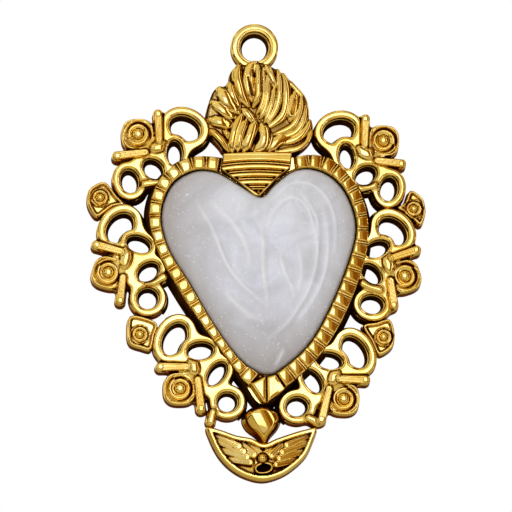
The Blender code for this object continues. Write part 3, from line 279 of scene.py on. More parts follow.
# Scroll units. Ovals are centre x, centre z, long half, short half and tilt in degrees.
# Each bar runs from its free end to its root, and the tip is how far the curl's tongue reaches.
UNIT_KEYS = ("curl", "hole_a", "tip", "hole_b", "ring", "rosette", "bar_one", "bar_two", "foot")
UNITS = {name: dict(zip(UNIT_KEYS, values)) for name, values in {
    "scroll_left_1": ((-9.4, -10.75, 2.2, 1.65, -25), (-10.8, -14.0, 1.65, 1.1, 92), (-10.2, -11.7),
        (-13.6, -16.1, 1.55, 1.2, -40), (-16.7, -17.7, 1.6, 1.25, 105), (-15.55, -11.55),
        ((-12.9, -8.9), (-12.8, -12.4)), ((-18.3, -14.4), (-14.6, -14.0)), ((-15.0, -18.2), (-13.2, -17.9))),
    "scroll_left_2": ((-18.0, -23.8, 2.2, 1.65, 50), (-15.6, -26.0, 1.7, 1.1, -20), (-17.3, -24.8),
        (-14.4, -29.6, 1.6, 1.15, 32), (-14.5, -33.1, 1.45, 1.4, 0), (-19.6, -29.7),
        ((-21.1, -26.1), (-17.9, -27.0)), ((-18.1, -33.4), (-17.7, -30.4)),
        ((-14.5, -31.4), (-12.4, -30.4))),
    "scroll_left_3": ((-11.1, -38.4, 2.3, 1.55, 60), (-7.8, -40.0, 1.8, 1.15, 5), (-10.2, -39.3),
        (-5.7, -43.0, 1.75, 1.05, 52), (-4.4, -46.7, 1.4, 1.3, 0), (-10.5, -44.9),
        ((-13.0, -42.1), (-9.6, -42.1)), ((-7.8, -47.6), (-8.2, -43.8)), ((-6.3, -48.0), (-6.6, -49.2))),
    "scroll_right_1": ((10.7, -11.35, 2.2, 1.65, 15), (11.7, -14.7, 1.65, 1.05, 98), (11.1, -12.15),
        (14.1, -17.2, 1.55, 1.2, 28), (17.1, -19.0, 1.65, 1.25, 80), (16.5, -12.7),
        ((14.2, -9.8), (14.0, -13.3)), ((18.8, -15.8), (15.6, -15.4)), ((15.2, -18.6), (13.4, -19.0))),
    "scroll_right_2": ((17.5, -24.6, 2.2, 1.6, -42), (15.4, -26.95, 1.65, 1.1, 20), (17.1, -25.5),
        (14.6, -30.2, 1.6, 1.05, -45), (14.6, -34.2, 1.6, 1.25, -8), (18.9, -30.6),
        ((20.5, -27.2), (17.3, -28.2)), ((17.4, -34.4), (17.0, -31.2)), ((15.6, -32.4), (13.4, -31.5))),
    "scroll_right_3": ((12.2, -40.4, 2.3, 1.5, -58), (8.9, -41.5, 1.75, 1.1, -12), (11.3, -41.1),
        (6.7, -44.1, 1.75, 1.05, -55), (4.6, -47.4, 1.5, 1.3, 0), (10.6, -46.5),
        ((13.5, -44.1), (10.2, -43.9)), ((7.7, -49.2), (8.7, -45.2)), ((6.0, -48.9), (6.9, -49.3)))}.items()}

# Small rosettes: centre and the outline of their web
LINKS = {
    "rosette_left_upper": ((-20.55, -19.85), [
        (-19.9, -17.8), (-21.8, -18.6), (-22.2, -20.0), (-21.9, -21.3), (-20.9, -22.4), (-19.0, -21.1),
        (-17.4, -20.8), (-18.4, -19.6)]),
    "rosette_left_lower": ((-15.6, -37.8), [
        (-16.8, -35.4), (-17.2, -37.4), (-16.9, -39.0), (-15.5, -39.6), (-14.2, -39.8), (-13.7, -38.0),
        (-13.3, -36.5), (-14.6, -35.7)]),
    "rosette_right_upper": ((20.25, -21.75), [
        (19.9, -19.3), (21.4, -20.3), (21.8, -21.7), (21.7, -22.8), (21.0, -23.9), (19.4, -22.4),
        (18.1, -21.6), (19.1, -20.9)]),
    "rosette_right_lower": ((15.95, -38.5), [
        (13.3, -37.0), (15.0, -36.6), (16.8, -36.2), (17.4, -38.0), (17.2, -39.6), (16.1, -40.6),
        (15.1, -40.7), (14.3, -39.0)])}

# Ridges drawn into the pearl while it set: points, half width and height
SWIRLS = [
    ([(1.7, -20.6), (2.7, -19.7), (3.8, -18.8), (5.0, -18.4), (6.2, -18.5), (7.4, -19.0), (8.4, -19.9),
      (9.1, -20.9), (9.6, -22.2), (9.9, -23.7), (9.9, -25.8), (9.8, -27.8)], 0.3, 0.13),
    ([(1.1, -24.2), (1.7, -22.6), (2.7, -21.3), (3.7, -20.6), (4.8, -20.5), (5.8, -21.2), (6.5, -22.3),
      (6.9, -23.7), (7.2, -24.9), (7.4, -26.8), (7.3, -29.0), (6.8, -31.0), (6.0, -33.0), (5.0, -34.6),
      (3.8, -36.4), (2.4, -37.8), (1.2, -38.8)], 0.4, 0.2),
    ([(5.5, -19.7), (6.2, -20.7), (7.0, -22.1), (7.5, -23.3), (7.7, -25.8), (7.6, -27.8)], 0.3, 0.14),
    ([(8.4, -22.1), (8.8, -24.1), (8.8, -27.8), (8.4, -30.2), (7.4, -32.8), (6.2, -34.8), (4.8, -36.6)],
     0.35, 0.1),
    ([(-8.0, -20.7), (-7.2, -22.4), (-6.4, -23.8), (-5.6, -25.6), (-5.0, -27.4), (-4.2, -29.2), (-3.0, -31.0),
      (-1.6, -32.5), (-0.4, -33.5), (0.8, -34.7)], 0.4, 0.17),
    ([(-6.0, -21.1), (-4.8, -22.2), (-3.4, -23.8), (-2.4, -25.4), (-1.6, -27.4), (-1.3, -29.4)], 0.5, 0.13),
    ([(0.6, -23.4), (0.3, -25.0), (0.5, -26.6), (0.4, -28.8), (0.5, -30.8), (0.8, -32.8), (1.1, -34.6)],
     0.4, 0.12),
    ([(2.6, -27.2), (2.8, -29.0), (3.4, -30.8), (4.2, -32.6), (4.3, -34.0)], 0.35, 0.1),
    ([(5.0, -26.8), (5.3, -29.0), (5.3, -30.8), (5.0, -32.4)], 0.35, 0.1),
    ([(-4.4, -32.6), (-4.0, -33.4), (-2.8, -34.6), (-1.4, -35.8), (0.4, -36.6)], 0.5, 0.12),
    ([(3.0, -40.1), (2.4, -41.3), (1.8, -42.3)], 0.3, 0.1)]

# Colours of the finishes and the stage. The deep gold, the satin wall golds and their edge tint, the dark
# browns and the darker milk are painted shade.
COLOURS = {
    "gold_light": (0.85, 0.58, 0.125, 1.0), "gold": (0.71, 0.42, 0.055, 1.0),
    "gold_painted_shade": (0.08, 0.02, 0.002, 1.0), "gold_edge": (1.0, 0.8, 0.45, 1.0),
    "gold_satin_shade": (0.42, 0.20, 0.028, 1.0), "gold_shade": (0.20, 0.08, 0.008, 1.0),
    "satin_shade_edge": (0.35, 0.17, 0.05, 1.0), "painted_shade_brown": (0.03, 0.009, 0.001, 1.0),
    "painted_shade_brown_light": (0.12, 0.04, 0.006, 1.0), "painted_shade_brown_edge": (0.12, 0.05, 0.015, 1.0),
    "milk": (0.54, 0.535, 0.54, 1.0), "milk_light": (0.67, 0.665, 0.68, 1.0),
    "milk_shade": (0.39, 0.355, 0.33, 1.0), "milk_vein": (0.80, 0.80, 0.82, 1.0),
    "glitter": (0.92, 0.92, 0.95, 1.0), "glue": (0.60, 0.57, 0.50, 1.0),
    "glue_light": (0.74, 0.72, 0.66, 1.0), "floor": (0.9, 0.9, 0.9, 1.0), "dim": (0.34, 0.34, 0.35, 1.0),
    "white": (1.0, 1.0, 1.0, 1.0), "black": (0.0, 0.0, 0.0, 1.0)}


# Fields over the front plane

def smooth_line(points, steps=LINE_STEPS, closed=False):
    """Smooth curve through the points, with the given steps on each span."""
    count = len(points)
    spans = count if closed else count - 1
    line = []
    for k in range(spans):
        if closed:
            picked = [points[(k + shift) % count] for shift in (-1, 0, 1, 2)]
        else:
            picked = [points[min(max(k + shift, 0), count - 1)] for shift in (-1, 0, 1, 2)]
        before, start, end, after = (np.array(point, float) for point in picked)
        for step in range(steps):
            t = step / steps
            bend = 2 * before - 5 * start + 4 * end - after
            swing = 3 * start - before - 3 * end + after
            line.append(0.5 * (2 * start + (end - before) * t + bend * t * t + swing * t ** 3))
    if not closed:
        line.append(np.array(points[-1], float))
    return line


def oval_gap(shape, X, Z):
    """Signed distance to an oval, about, and negative inside."""
    x, z, a, b, tilt = shape
    c, s = math.cos(math.radians(tilt)), math.sin(math.radians(tilt))
    u = (X - x) * c + (Z - z) * s
    v = (Z - z) * c - (X - x) * s
    k0 = np.hypot(u / a, v / b)
    k1 = np.hypot(u / a ** 2, v / b ** 2)
    return np.where(k1 < 1e-6, -min(a, b), k0 * (k0 - 1) / np.maximum(k1, 1e-6))


def bar_gap(start, end, radius, end_radius, X, Z):
    """Signed distance to a bar with round ends, and the share along it."""
    dx, dz = end[0] - start[0], end[1] - start[1]
    share = np.clip(((X - start[0]) * dx + (Z - start[1]) * dz) / (dx * dx + dz * dz + 1e-12), 0, 1)
    away = np.hypot(X - start[0] - share * dx, Z - start[1] - share * dz)
    return away - (radius + (end_radius - radius) * share), share


def line_gap(line, X, Z):
    """Distance to an open line, and the share along it of the nearest point."""
    best = np.full(X.shape, 1e9)
    along = np.zeros(X.shape)
    for k, (start, end) in enumerate(zip(line, line[1:])):
        away, share = bar_gap(start, end, 0.0, 0.0, X, Z)
        nearer = away < best
        best = np.where(nearer, away, best)
        along = np.where(nearer, (k + share) / (len(line) - 1), along)
    return best, along


def loop_gap(loop, X, Z):
    """Signed distance to a closed outline, negative inside."""
    best = np.full(X.shape, 1e9)
    inside = np.zeros(X.shape, bool)
    for start, end in zip(loop, loop[1:] + loop[:1]):
        away, _ = bar_gap(start, end, 0.0, 0.0, X, Z)
        best = np.minimum(best, away)
        if start[1] != end[1]:
            crossing = start[0] + (end[0] - start[0]) * (Z - start[1]) / (end[1] - start[1])
            inside ^= ((start[1] > Z) != (end[1] > Z)) & (X < crossing)
    return np.where(inside, -best, best)


def cushion_gap(centre, half, heading, X, Z):
    """Signed distance, about, to a square with full sides and round corners."""
    c, s = math.cos(heading), math.sin(heading)
    u = np.abs((X - centre[0]) * c + (Z - centre[1]) * s) / half
    v = np.abs((Z - centre[1]) * c - (X - centre[0]) * s) / half
    return ((u ** PLATE_POWER + v ** PLATE_POWER) ** (1 / PLATE_POWER) - 1) * half


def blend_min(a, b, width):
    """Smaller of two fields, rounded where they meet."""
    share = np.clip(0.5 + 0.5 * (b - a) / width, 0, 1)
    return b * (1 - share) + a * share - width * share * (1 - share)


def dome(gap, top, radius, drop):
    """Height of a rounded strand: full inside, lower by its drop at the edge, and steep beyond."""
    near = np.clip(1 + gap / radius, 0, None)
    return top - drop * np.where(near < 1, near ** 2, 2 * near - 1)


def roll(gap, drop, reach):
    """How much lower a rounded edge gets within its reach of the outline."""
    return drop * np.clip(1 + gap / reach, 0, 1) ** 2


def strand(gap, top, half, belly=0.1, lip=0.2, fall=0.32, steep=0.7):
    """Height across a strand: a gentle belly, steeper lips at its edges and a slope beyond them."""
    edge = np.clip(1 + gap / lip, 0, None)
    return top - roll(gap, belly, half) - fall * np.where(edge < 1, edge ** 2, 1 - steep + steep * edge)


def ridge(away, half):
    """Bell from 1 at a line to nearly 0 beyond its half width."""
    return np.exp(-(away / half) ** 2 * 1.5)


def groove(away, depth, place, half):
    """Depth of a rounded groove that runs at a distance from a line or an edge."""
    return depth * ridge(away - place, half)


def soften(field, cells=SOFT_CELLS):
    """The field blurred over a few cells of the grid."""
    taps = np.exp(-0.5 * (np.arange(-3 * cells, 3 * cells + 1) / cells) ** 2)
    taps /= taps.sum()
    reach = len(taps) // 2
    for axis in (0, 1):
        pad = [(reach, reach) if side == axis else (0, 0) for side in (0, 1)]
        wide = np.pad(field, pad, mode="edge")
        size = field.shape[axis]
        field = sum(tap * np.take(wide, np.arange(k, k + size), axis=axis) for k, tap in enumerate(taps))
    return field


def board(points, margin, step=GRID):
    """Grid of x and z over the points' box, grown by a margin."""
    x, z = zip(*points)
    return np.meshgrid(np.arange(min(x) - margin, max(x) + margin + step, step),
                       np.arange(min(z) - margin, max(z) + margin + step, step))


# Meshes

def picked(field, X, Z, px, pz):
    """The field at places between the grid's points."""
    step = X[0, 1] - X[0, 0]
    u = np.clip((px - X[0, 0]) / step, 0, X.shape[1] - 1.001)
    v = np.clip((pz - Z[0, 0]) / step, 0, X.shape[0] - 1.001)
    j, i = u.astype(int), v.astype(int)
    u, v = u - j, v - i
    low = field[i, j] * (1 - u) + field[i, j + 1] * u
    high = field[i + 1, j] * (1 - u) + field[i + 1, j + 1] * u
    return low * (1 - v) + high * v


def any_corner(grid):
    """Whether any of the four neighbours round each crossing of the grid is set."""
    return grid[:-1, :-1] | grid[:-1, 1:] | grid[1:, :-1] | grid[1:, 1:]


def relief(name, X, Z, gap, height, low=0.0, draft=WALL_DRAFT, holes=None, snug=None, stain=0.0):
    """Solid piece with a height at every point of its front, drafted walls and a flat back."""
    step = X[0, 1] - X[0, 0]
    inside = gap < -INSIDE_STEPS * step
    cells = any_corner(inside)
    padded = np.pad(cells, 1)
    used = any_corner(padded)
    slope_z, slope_x = np.gradient(gap, step)
    steep = np.maximum(np.hypot(slope_x, slope_z), LEAST_SLOPE)
    way_x, way_z = slope_x / steep, slope_z / steep
    shift = np.where(used & ~inside, np.clip(gap / steep, -SNAP_STEPS * step, SNAP_STEPS * step), 0.0)
    px = X - way_x * shift
    pz = Z - way_z * shift

    def sampled(field):
        return picked(field, X, Z, px, pz)[used]

    # Painted shade: each point's share of dark brown, from the front's hollows and creases and from any share
    # passed in
    floor = np.maximum(height, height[used].max() - HOLLOW_REACH)
    broad = (soften(floor, BROAD_CELLS) - floor) * BROAD_GAIN
    fine = (soften(floor, FINE_CELLS) - floor) * FINE_GAIN - FINE_START
    hollow = np.clip(np.maximum(np.maximum(broad, fine), stain), 0, 1)

    count = int(used.sum())
    number = np.full(X.shape, -1)
    number[used] = np.arange(count)
    front = np.column_stack([px[used], np.maximum(sampled(height), low + LEAST_DEPTH), pz[used]])
    i, j = np.nonzero(cells)
    faces = np.column_stack([number[i, j], number[i, j + 1], number[i + 1, j + 1], number[i + 1, j]])
    borders = []
    for (di, dj), pair in (((-1, 0), (0, 1)), ((0, 1), (1, 2)), ((1, 0), (2, 3)), ((0, -1), (3, 0))):
        open_side = ~padded[i + 1 + di, j + 1 + dj]
        borders.append(faces[open_side][:, pair])
    borders = np.concatenate(borders)
    rim = np.unique(borders)
    at_rim = np.full(count, -1)
    at_rim[rim] = np.arange(len(rim))
    a, b = at_rim[borders[:, 0]], at_rim[borders[:, 1]]

    in_hole = np.zeros(len(rim))
    if holes is not None:
        in_hole = (np.abs(sampled(holes)[rim]) < HOLE_STEPS * step).astype(float)
    room = draft + max(HOLE_DRAFT - draft, 0.0) * in_hole
    if snug is not None:
        room = room * np.clip(sampled(snug)[rim] / SNUG_REACH, 0, 1)
    out_x, out_z = sampled(way_x)[rim] * room, sampled(way_z)[rim] * room
    points, hollows, sides, quads = [front], [hollow[used]], [np.zeros(count)], [faces]
    base = count
    upper = rim
    for share, spread in WALL_RINGS:
        points.append(np.column_stack([front[rim, 0] + out_x * spread, low + (front[rim, 1] - low) * share,
                                       front[rim, 2] + out_z * spread]))
        # Painted shade that grows down each wall, strongest on the walls of openings
        hollows.append((1 - share) * (WALL_HOLLOW + (1 - WALL_HOLLOW) * in_hole))
        sides.append(np.full(len(rim), 1.0))
        lower = base + np.arange(len(rim))
        quads.append(np.column_stack([upper[b], upper[a], lower[a], lower[b]]))
        upper = lower
        base += len(rim)
    back = np.column_stack([front[:, 0], np.full(count, low), front[:, 2]])
    back[rim] = points[-1]
    points.append(back)
    # A little painted shade on the back
    hollows.append(np.full(count, BACK_HOLLOW))
    sides.append(np.full(count, BACK_SIDE))
    quads.append(faces[:, ::-1] + base)
    piece = solid(name, np.concatenate(points), np.concatenate(quads))
    # The top ring of each wall stays polished; below it the walls of openings take the dark painted-shade
    # finish, and other walls and the back the darker gilt
    walls = np.where(in_hole[a] > 0.5, 1, 2)
    kinds = [np.zeros(len(faces) + len(borders), int), walls, walls, np.full(len(faces), 2)]
    piece.data.polygons.foreach_set("material_index", np.concatenate(kinds).astype(np.int32))
    keep(piece, "hollow", np.concatenate(hollows))
    keep(piece, "side", np.concatenate(sides))
    return piece


def solid(name, points, faces):
    """Mesh object from points of x, height and z in millimetres."""
    mesh = bpy.data.meshes.new(name)
    mesh.vertices.add(len(points))
    places = np.column_stack([points[:, 0], BACK_BEHIND_EYE - points[:, 1], points[:, 2]]) * MM
    mesh.vertices.foreach_set("co", places.astype(np.float32).ravel())
    mesh.loops.add(faces.size)
    mesh.loops.foreach_set("vertex_index", faces.astype(np.int32).ravel())
    mesh.polygons.add(len(faces))
    mesh.polygons.foreach_set("loop_start", (np.arange(len(faces)) * faces.shape[1]).astype(np.int32))
    mesh.update(calc_edges=True)
    mesh.validate()
    mesh.shade_smooth()
    mesh.set_sharp_from_angle(angle=math.radians(SHARP_ANGLE))
    return add_object(name, mesh)


def add_object(name, data):
    """New object in the scene."""
    made = bpy.data.objects.new(name, data)
    bpy.context.scene.collection.objects.link(made)
    return made


def keep(piece, name, values):
    """Store one number for each point of the mesh."""
    layer = piece.data.attributes.new(name, "FLOAT", "POINT")
    layer.data.foreach_set("value", values.astype(np.float32)[:len(piece.data.vertices)])


# Materials

def link(tree, source, target):
    tree.links.new(source, target)


def attribute(tree, name):
    made = tree.nodes.new("ShaderNodeAttribute")
    made.attribute_name = name
    return made.outputs["Fac"]


def noise(tree, waves, detail=3.0, rough=0.5, distortion=0.0):
    """Noise over the part's own places, with its waves for each metre."""
    place = tree.nodes.new("ShaderNodeTexCoord")
    made = tree.nodes.new("ShaderNodeTexNoise")
    values = (waves, detail, rough, distortion)
    for name, value in zip(("Scale", "Detail", "Roughness", "Distortion"), values):
        made.inputs[name].default_value = value
    link(tree, place.outputs["Object"], made.inputs["Vector"])
    return made.outputs["Fac"]


def span(tree, value, low=0.0, high=1.0, to=(0.0, 1.0)):
    """The value's range moved to another range."""
    made = tree.nodes.new("ShaderNodeMapRange")
    made.clamp = True
    for name, number in zip(("From Min", "From Max", "To Min", "To Max"), (low, high, *to)):
        made.inputs[name].default_value = number
    link(tree, value, made.inputs["Value"])
    return made.outputs["Result"]


def clouds(tree, waves, low=0.3, high=0.7, to=(0.0, 1.0), **look):
    """Noise whose range between two levels is moved to another range."""
    return span(tree, noise(tree, waves, **look), low, high, to)


def wire(tree, values, sockets):
    """Give each socket its value, which is a socket to link, a number or a colour."""
    for value, socket in zip(values, sockets):
        if isinstance(value, (int, float, tuple)):
            socket.default_value = value
        else:
            link(tree, value, socket)


def blend(tree, share, first, second):
    """Two colours mixed by a share; each is a socket or a colour."""
    made = tree.nodes.new("ShaderNodeMix")
    made.data_type = "RGBA"
    wire(tree, (share, first, second), (made.inputs["Factor"], made.inputs["A"], made.inputs["B"]))
    return made.outputs["Result"]


def combine(tree, first, second, operation="ADD"):
    made = tree.nodes.new("ShaderNodeMath")
    made.operation = operation
    wire(tree, (first, second), made.inputs)
    return made.outputs[0]


def bump(tree, height, distance, strength, under=None):
    made = tree.nodes.new("ShaderNodeBump")
    made.inputs["Distance"].default_value = distance
    made.inputs["Strength"].default_value = strength
    link(tree, height, made.inputs["Height"])
    if under is not None:
        link(tree, under, made.inputs["Normal"])
    return made.outputs["Normal"]


def new_material(name):
    material = bpy.data.materials.new(name)
    material.use_nodes = True
    return material, material.node_tree, material.node_tree.nodes["Principled BSDF"]


LINKED_SOCKETS = {"colour": "Base Color", "rough": "Roughness", "normal": "Normal"}


def finish(tree, shader, plain, **linked):
    """Set the shader's plain sockets, and link its colour, roughness and normal."""
    for name, value in plain.items():
        shader.inputs[name].default_value = value
    for name, source in linked.items():
        link(tree, source, shader.inputs[LINKED_SOCKETS[name]])


def gilt(name, light, main, edge, shine, worn):
    """Gilt casting: patchy gold, dark brown with painted shade in its hollows, and rougher there and on its
    sides.
    """
    material, tree, shader = new_material(name)
    hollow, side = attribute(tree, "hollow"), attribute(tree, "side")
    patches = clouds(tree, waves=260.0, low=0.35, high=0.65, detail=4.0, rough=0.6)
    metal = blend(tree, patches, COLOURS[light], COLOURS[main])
    rough = clouds(tree, waves=700.0, low=0.35, high=0.7, to=(shine, shine + 0.05), detail=4.0)
    rough = combine(tree, rough, span(tree, side, to=(0.0, worn)))
    soft = bump(tree, noise(tree, waves=330.0, detail=2.0), distance=0.00005, strength=0.3)
    fine = noise(tree, waves=2600.0, rough=0.6)
    plain = {"Metallic": 1.0, "Specular Tint": COLOURS[edge]}
    finish(tree, shader, plain,
           colour=blend(tree, span(tree, hollow, low=0.12, high=0.8), metal, COLOURS["gold_painted_shade"]),
           rough=combine(tree, rough, span(tree, hollow, to=(0.0, 0.2))),
           normal=bump(tree, fine, distance=0.000004, strength=0.2, under=soft))
    return material


def painted_shade_brown(name):
    """Painted shade: a dark brown finish in the casting's openings and behind its edges."""
    material, tree, shader = new_material(name)
    cloud = clouds(tree, waves=600.0, low=0.35, high=0.7, detail=4.0, rough=0.6)
    plain = {"Metallic": 0.5, "Specular IOR Level": 0.0, "Specular Tint": COLOURS["painted_shade_brown_edge"]}
    finish(tree, shader, plain,
           colour=blend(tree, cloud, COLOURS["painted_shade_brown"], COLOURS["painted_shade_brown_light"]),
           rough=clouds(tree, waves=900.0, to=(0.45, 0.7)),
           normal=bump(tree, noise(tree, waves=1500.0), distance=0.00004, strength=0.4))
    return material


def pearl():
    """Milky marbled resin with glitter under a glossy skin."""
    material, tree, shader = new_material("pearl_resin")
    cloud = clouds(tree, waves=110.0, low=0.38, high=0.62, detail=5.0, rough=0.6, distortion=2.2)
    milk = blend(tree, cloud, COLOURS["milk"], COLOURS["milk_light"])
    # Painted shade: the milk turns darker near the edge, to the left, towards the foot and to the right
    milk = blend(tree, attribute(tree, "pearl_shade"), milk, COLOURS["milk_shade"])
    milk = blend(tree, attribute(tree, "vein"), milk, COLOURS["milk_vein"])
    place = tree.nodes.new("ShaderNodeTexCoord")
    cells = tree.nodes.new("ShaderNodeTexVoronoi")
    cells.inputs["Scale"].default_value = GLITTER_WAVES
    link(tree, place.outputs["Object"], cells.inputs["Vector"])
    apart = tree.nodes.new("ShaderNodeSeparateColor")
    link(tree, cells.outputs["Color"], apart.inputs["Color"])
    spark = span(tree, apart.outputs[0], low=0.965, high=0.985)
    spark = combine(tree, spark, GLITTER_STRENGTH, "MULTIPLY")
    skin = bump(tree, noise(tree, waves=220.0, distortion=0.8), distance=0.00035, strength=0.5)
    plain = {"Specular IOR Level": 0.25, "Coat Weight": 0.2, "Coat Roughness": 0.05,
             "Subsurface Weight": 0.25, "Subsurface Radius": (0.0012, 0.0011, 0.001), "Subsurface Scale": 1.0}
    finish(tree, shader, plain,
           colour=blend(tree, spark, milk, COLOURS["glitter"]),
           rough=clouds(tree, waves=300.0, to=(0.32, 0.5), detail=4.0),
           normal=bump(tree, apart.outputs[1], distance=0.00003, strength=0.15, under=skin))
    return material


def glue():
    """Clear, slightly yellow layer under the stone."""
    material, tree, shader = new_material("clear_glue_layer")
    finish(tree, shader, {},
           colour=blend(tree, noise(tree, waves=500.0), COLOURS["glue"], COLOURS["glue_light"]),
           rough=clouds(tree, waves=900.0, to=(0.25, 0.5)),
           normal=bump(tree, noise(tree, waves=1200.0), distance=0.00005, strength=0.4))
    return material


# Pieces

HEART_LOOP = smooth_line(HEART_POINTS, LOOP_STEPS, True)
CUP_LOOP = smooth_line(CUP_POINTS, LOOP_STEPS, True)
gold = gilt("polished_gilt", "gold_light", "gold", "gold_edge", 0.05, 0.15)
# A darker copy of the gilt for walls and backs, and a dark brown finish for openings: both are painted shade
satin_and_shade_gold = gilt("satin_gilt_painted_shade", "gold_satin_shade", "gold_shade", "satin_shade_edge", 0.3, 0.05)
recess = painted_shade_brown("dark_recess")
# Materials of a piece's front, of the walls of its openings, dark with painted shade, and of its other walls
# and back, a darker gilt with painted shade
GILT = (gold, recess, satin_and_shade_gold)


def make_piece(node, X, Z, gap, height, low=0.0, suffix="_gilt", materials=GILT, slot="polished_gold",
               **shape):
    """Relief in place of one solid, with its materials, on the part's one body."""
    piece = relief(node + suffix, X, Z, gap, height, low, **shape)
    for material in materials:
        piece.data.materials.append(material)
    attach(piece, "root")
    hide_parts(node)
    return piece


def raised_rim(gap, top, half):
    """Narrow strand along the inside of an edge."""
    return strand(np.abs(gap + half) - half, top, half, *RIM_PROFILE)


def between(first, second, share):
    """Place at a share of the way from one to another."""
    return [(1 - share) * a + share * b for a, b in zip(first, second)]


def rosette(centre, radius, rise, X, Z, turn):
    """Height of a ball in a shallow dish, with a band wound round it that is cut deepest on one side."""
    away = np.hypot(X - centre[0], Z - centre[1]) / radius
    angle = np.arctan2(Z - centre[1], X - centre[0])
    wound = away + BAND_WIND * (((angle + turn) / (2 * math.pi)) % 1.0)
    cut = 0.5 + 0.5 * np.cos(angle - math.radians(DEEP_SIDE))
    band = np.interp(wound, BAND_AT, BAND_HEIGHTS)
    band = band - cut * groove(wound, *BAND_GROOVE) - groove(away, *BALL_GROOVE)
    ball = BALL_EDGE + BALL_RISE * (1 - np.clip(away / BALL_SHARE, 0, 1) ** 4) - (away > BALL_SHARE)
    return rise * np.maximum(band, ball)


def make_unit(name):
    """One scroll unit: strands round four holes, a rosette on its plaque, a hump, a foot and two bars."""
    unit = UNITS[name]
    hole_a, centre = unit["hole_a"], unit["rosette"]
    centres = [unit[key][:2] for key in ("curl", "rosette", "ring", "hole_b", "hole_a")]
    X, Z = board(centres + [end for key in ("bar_one", "bar_two", "foot") for end in unit[key]], UNIT_MARGIN)
    cup = loop_gap(CUP_LOOP, X, Z)
    loop, *others = (oval_gap(unit[key], X, Z) for key in ("curl", "hole_a", "hole_b", "ring"))
    tongue = max(TONGUE, float(oval_gap(hole_a, *unit["tip"])))
    ovals = [-blend_min(-loop, others[0] - tongue, TONGUE_MELT)] + others
    holes = np.minimum.reduce(ovals)
    body = loop_gap(centres, X, Z)
    widths = (LOOP_STRAND, tongue, WEB_STRAND, RING_STRAND)
    for hole, width, melt in zip([loop] + others, widths, STRAND_MELTS):
        body = blend_min(body, np.abs(hole - width / 2) - width / 2, melt)

    (start_one, end_one), end_two = unit["bar_one"], unit["bar_two"][1]
    heading = math.atan2(end_one[1] - start_one[1], end_one[0] - start_one[0])
    plate = cushion_gap(centre, ROSETTE_PLATE, heading, X, Z)
    level = BORDER_HEIGHT - ROSETTE_SINK
    turn = math.atan2(centre[1] - hole_a[1], centre[0] - hole_a[0])
    boss = level + rosette(centre, ROSETTE_RADIUS, ROSETTE_RISE, X, Z, turn)
    boss = np.maximum(np.maximum(boss, level), raised_rim(plate, level + PLATE_RIM_RISE, PLATE_RIM))
    flat = strand(np.maximum(body, -holes), BORDER_HEIGHT, *FLAT_STRAND)
    flat = np.maximum(flat, strand(plate, level + PLATE_EDGE_RISE, PLATE_EDGE))
    height = np.where(plate < 0, boss, flat)
    gap = blend_min(body, plate, PLATE_MELT)

    start = between(hole_a[:2], end_one, HUMP_START)
    end = between(start, end_two, HUMP_END)
    tilt = math.degrees(math.atan2(end[1] - start[1], end[0] - start[0]))
    long = math.dist(start, end) / 2 + HUMP_OVERRUN
    hump = oval_gap((*between(start, end, 0.5), long, HUMP_HALF, tilt), X, Z)
    hump = -blend_min(-hump, np.minimum(ovals[1], ovals[2]) - HUMP_CLEAR, EDGE_MELT)
    foot, _ = bar_gap(*unit["foot"], *FOOT_RADII, X, Z)
    foot = -blend_min(-foot, np.minimum(ovals[2], ovals[3]) - FOOT_CLEAR, EDGE_MELT)
    for form, dent, rise, shape, melt in (
            (hump, HUMP_GROOVE, HUMP_RISE, HUMP_STRAND, HUMP_MELT),
            (foot, FOOT_GROOVE, FOOT_RISE, FOOT_STRAND, FOOT_MELT)):
        height = np.maximum(height - groove(form, *dent), strand(form, BORDER_HEIGHT + rise, *shape))
        gap = blend_min(gap, form, melt)
    for key, rise in BAR_RISES.items():
        bar, share = bar_gap(*unit[key], *BAR_RADII, X, Z)
        middle, _ = bar_gap(*unit[key], 0.0, 0.0, X, Z)
        top = strand(bar, BORDER_HEIGHT + rise, *BAR_STRAND)
        top = top - groove(middle, *BAR_GROOVE) * (share > BAR_GROOVE_START)
        height = np.maximum(height - groove(bar, *BAR_SEAM), top)
        gap = blend_min(gap, bar, BAR_MELT)
    height = soften(height - groove(holes, *HOLE_GROOVE))
    gap = np.maximum(np.maximum(gap, -holes), SEAM - cup)
    # Walls of openings away from the cup take the dark painted-shade finish
    dark = np.where(cup < DARK_REACH, 0.0, holes)
    make_piece(name, X, Z, gap, height, suffix="", holes=dark, snug=np.where(cup < CUP_SIDE, cup, FAR))


def make_link(name):
    """Small rosette on its web between one unit's ring and the next unit's curl."""
    centre, outline = LINKS[name]
    X, Z = board(outline, WIDE_MARGIN, SMALL_GRID)
    side, end = name.split("_")[1:]
    upper = 1 if end == "upper" else 2
    ring = oval_gap(UNITS[f"scroll_{side}_{upper}"]["ring"], X, Z) - RING_STRAND
    curl = oval_gap(UNITS[f"scroll_{side}_{upper + 1}"]["curl"], X, Z) - LOOP_STRAND
    web = loop_gap(smooth_line(outline, closed=True), X, Z)
    gap = np.maximum.reduce([web, LINK_SEAM - ring, LINK_SEAM - curl])
    level = BORDER_HEIGHT - WEB_SINK
    height = np.maximum(level, raised_rim(web, level + WEB_RIM_RISE, WEB_RIM))
    dish = level - DISH_DEPTH
    boss = np.maximum(dish + rosette(centre, SMALL_RADIUS, SMALL_RISE, X, Z, SMALL_TURN), dish)
    height = np.where(np.hypot(X - centre[0], Z - centre[1]) < SMALL_DISH, boss, height)
    make_piece(name, X, Z, gap, soften(height), suffix="", snug=np.minimum(ring, curl))


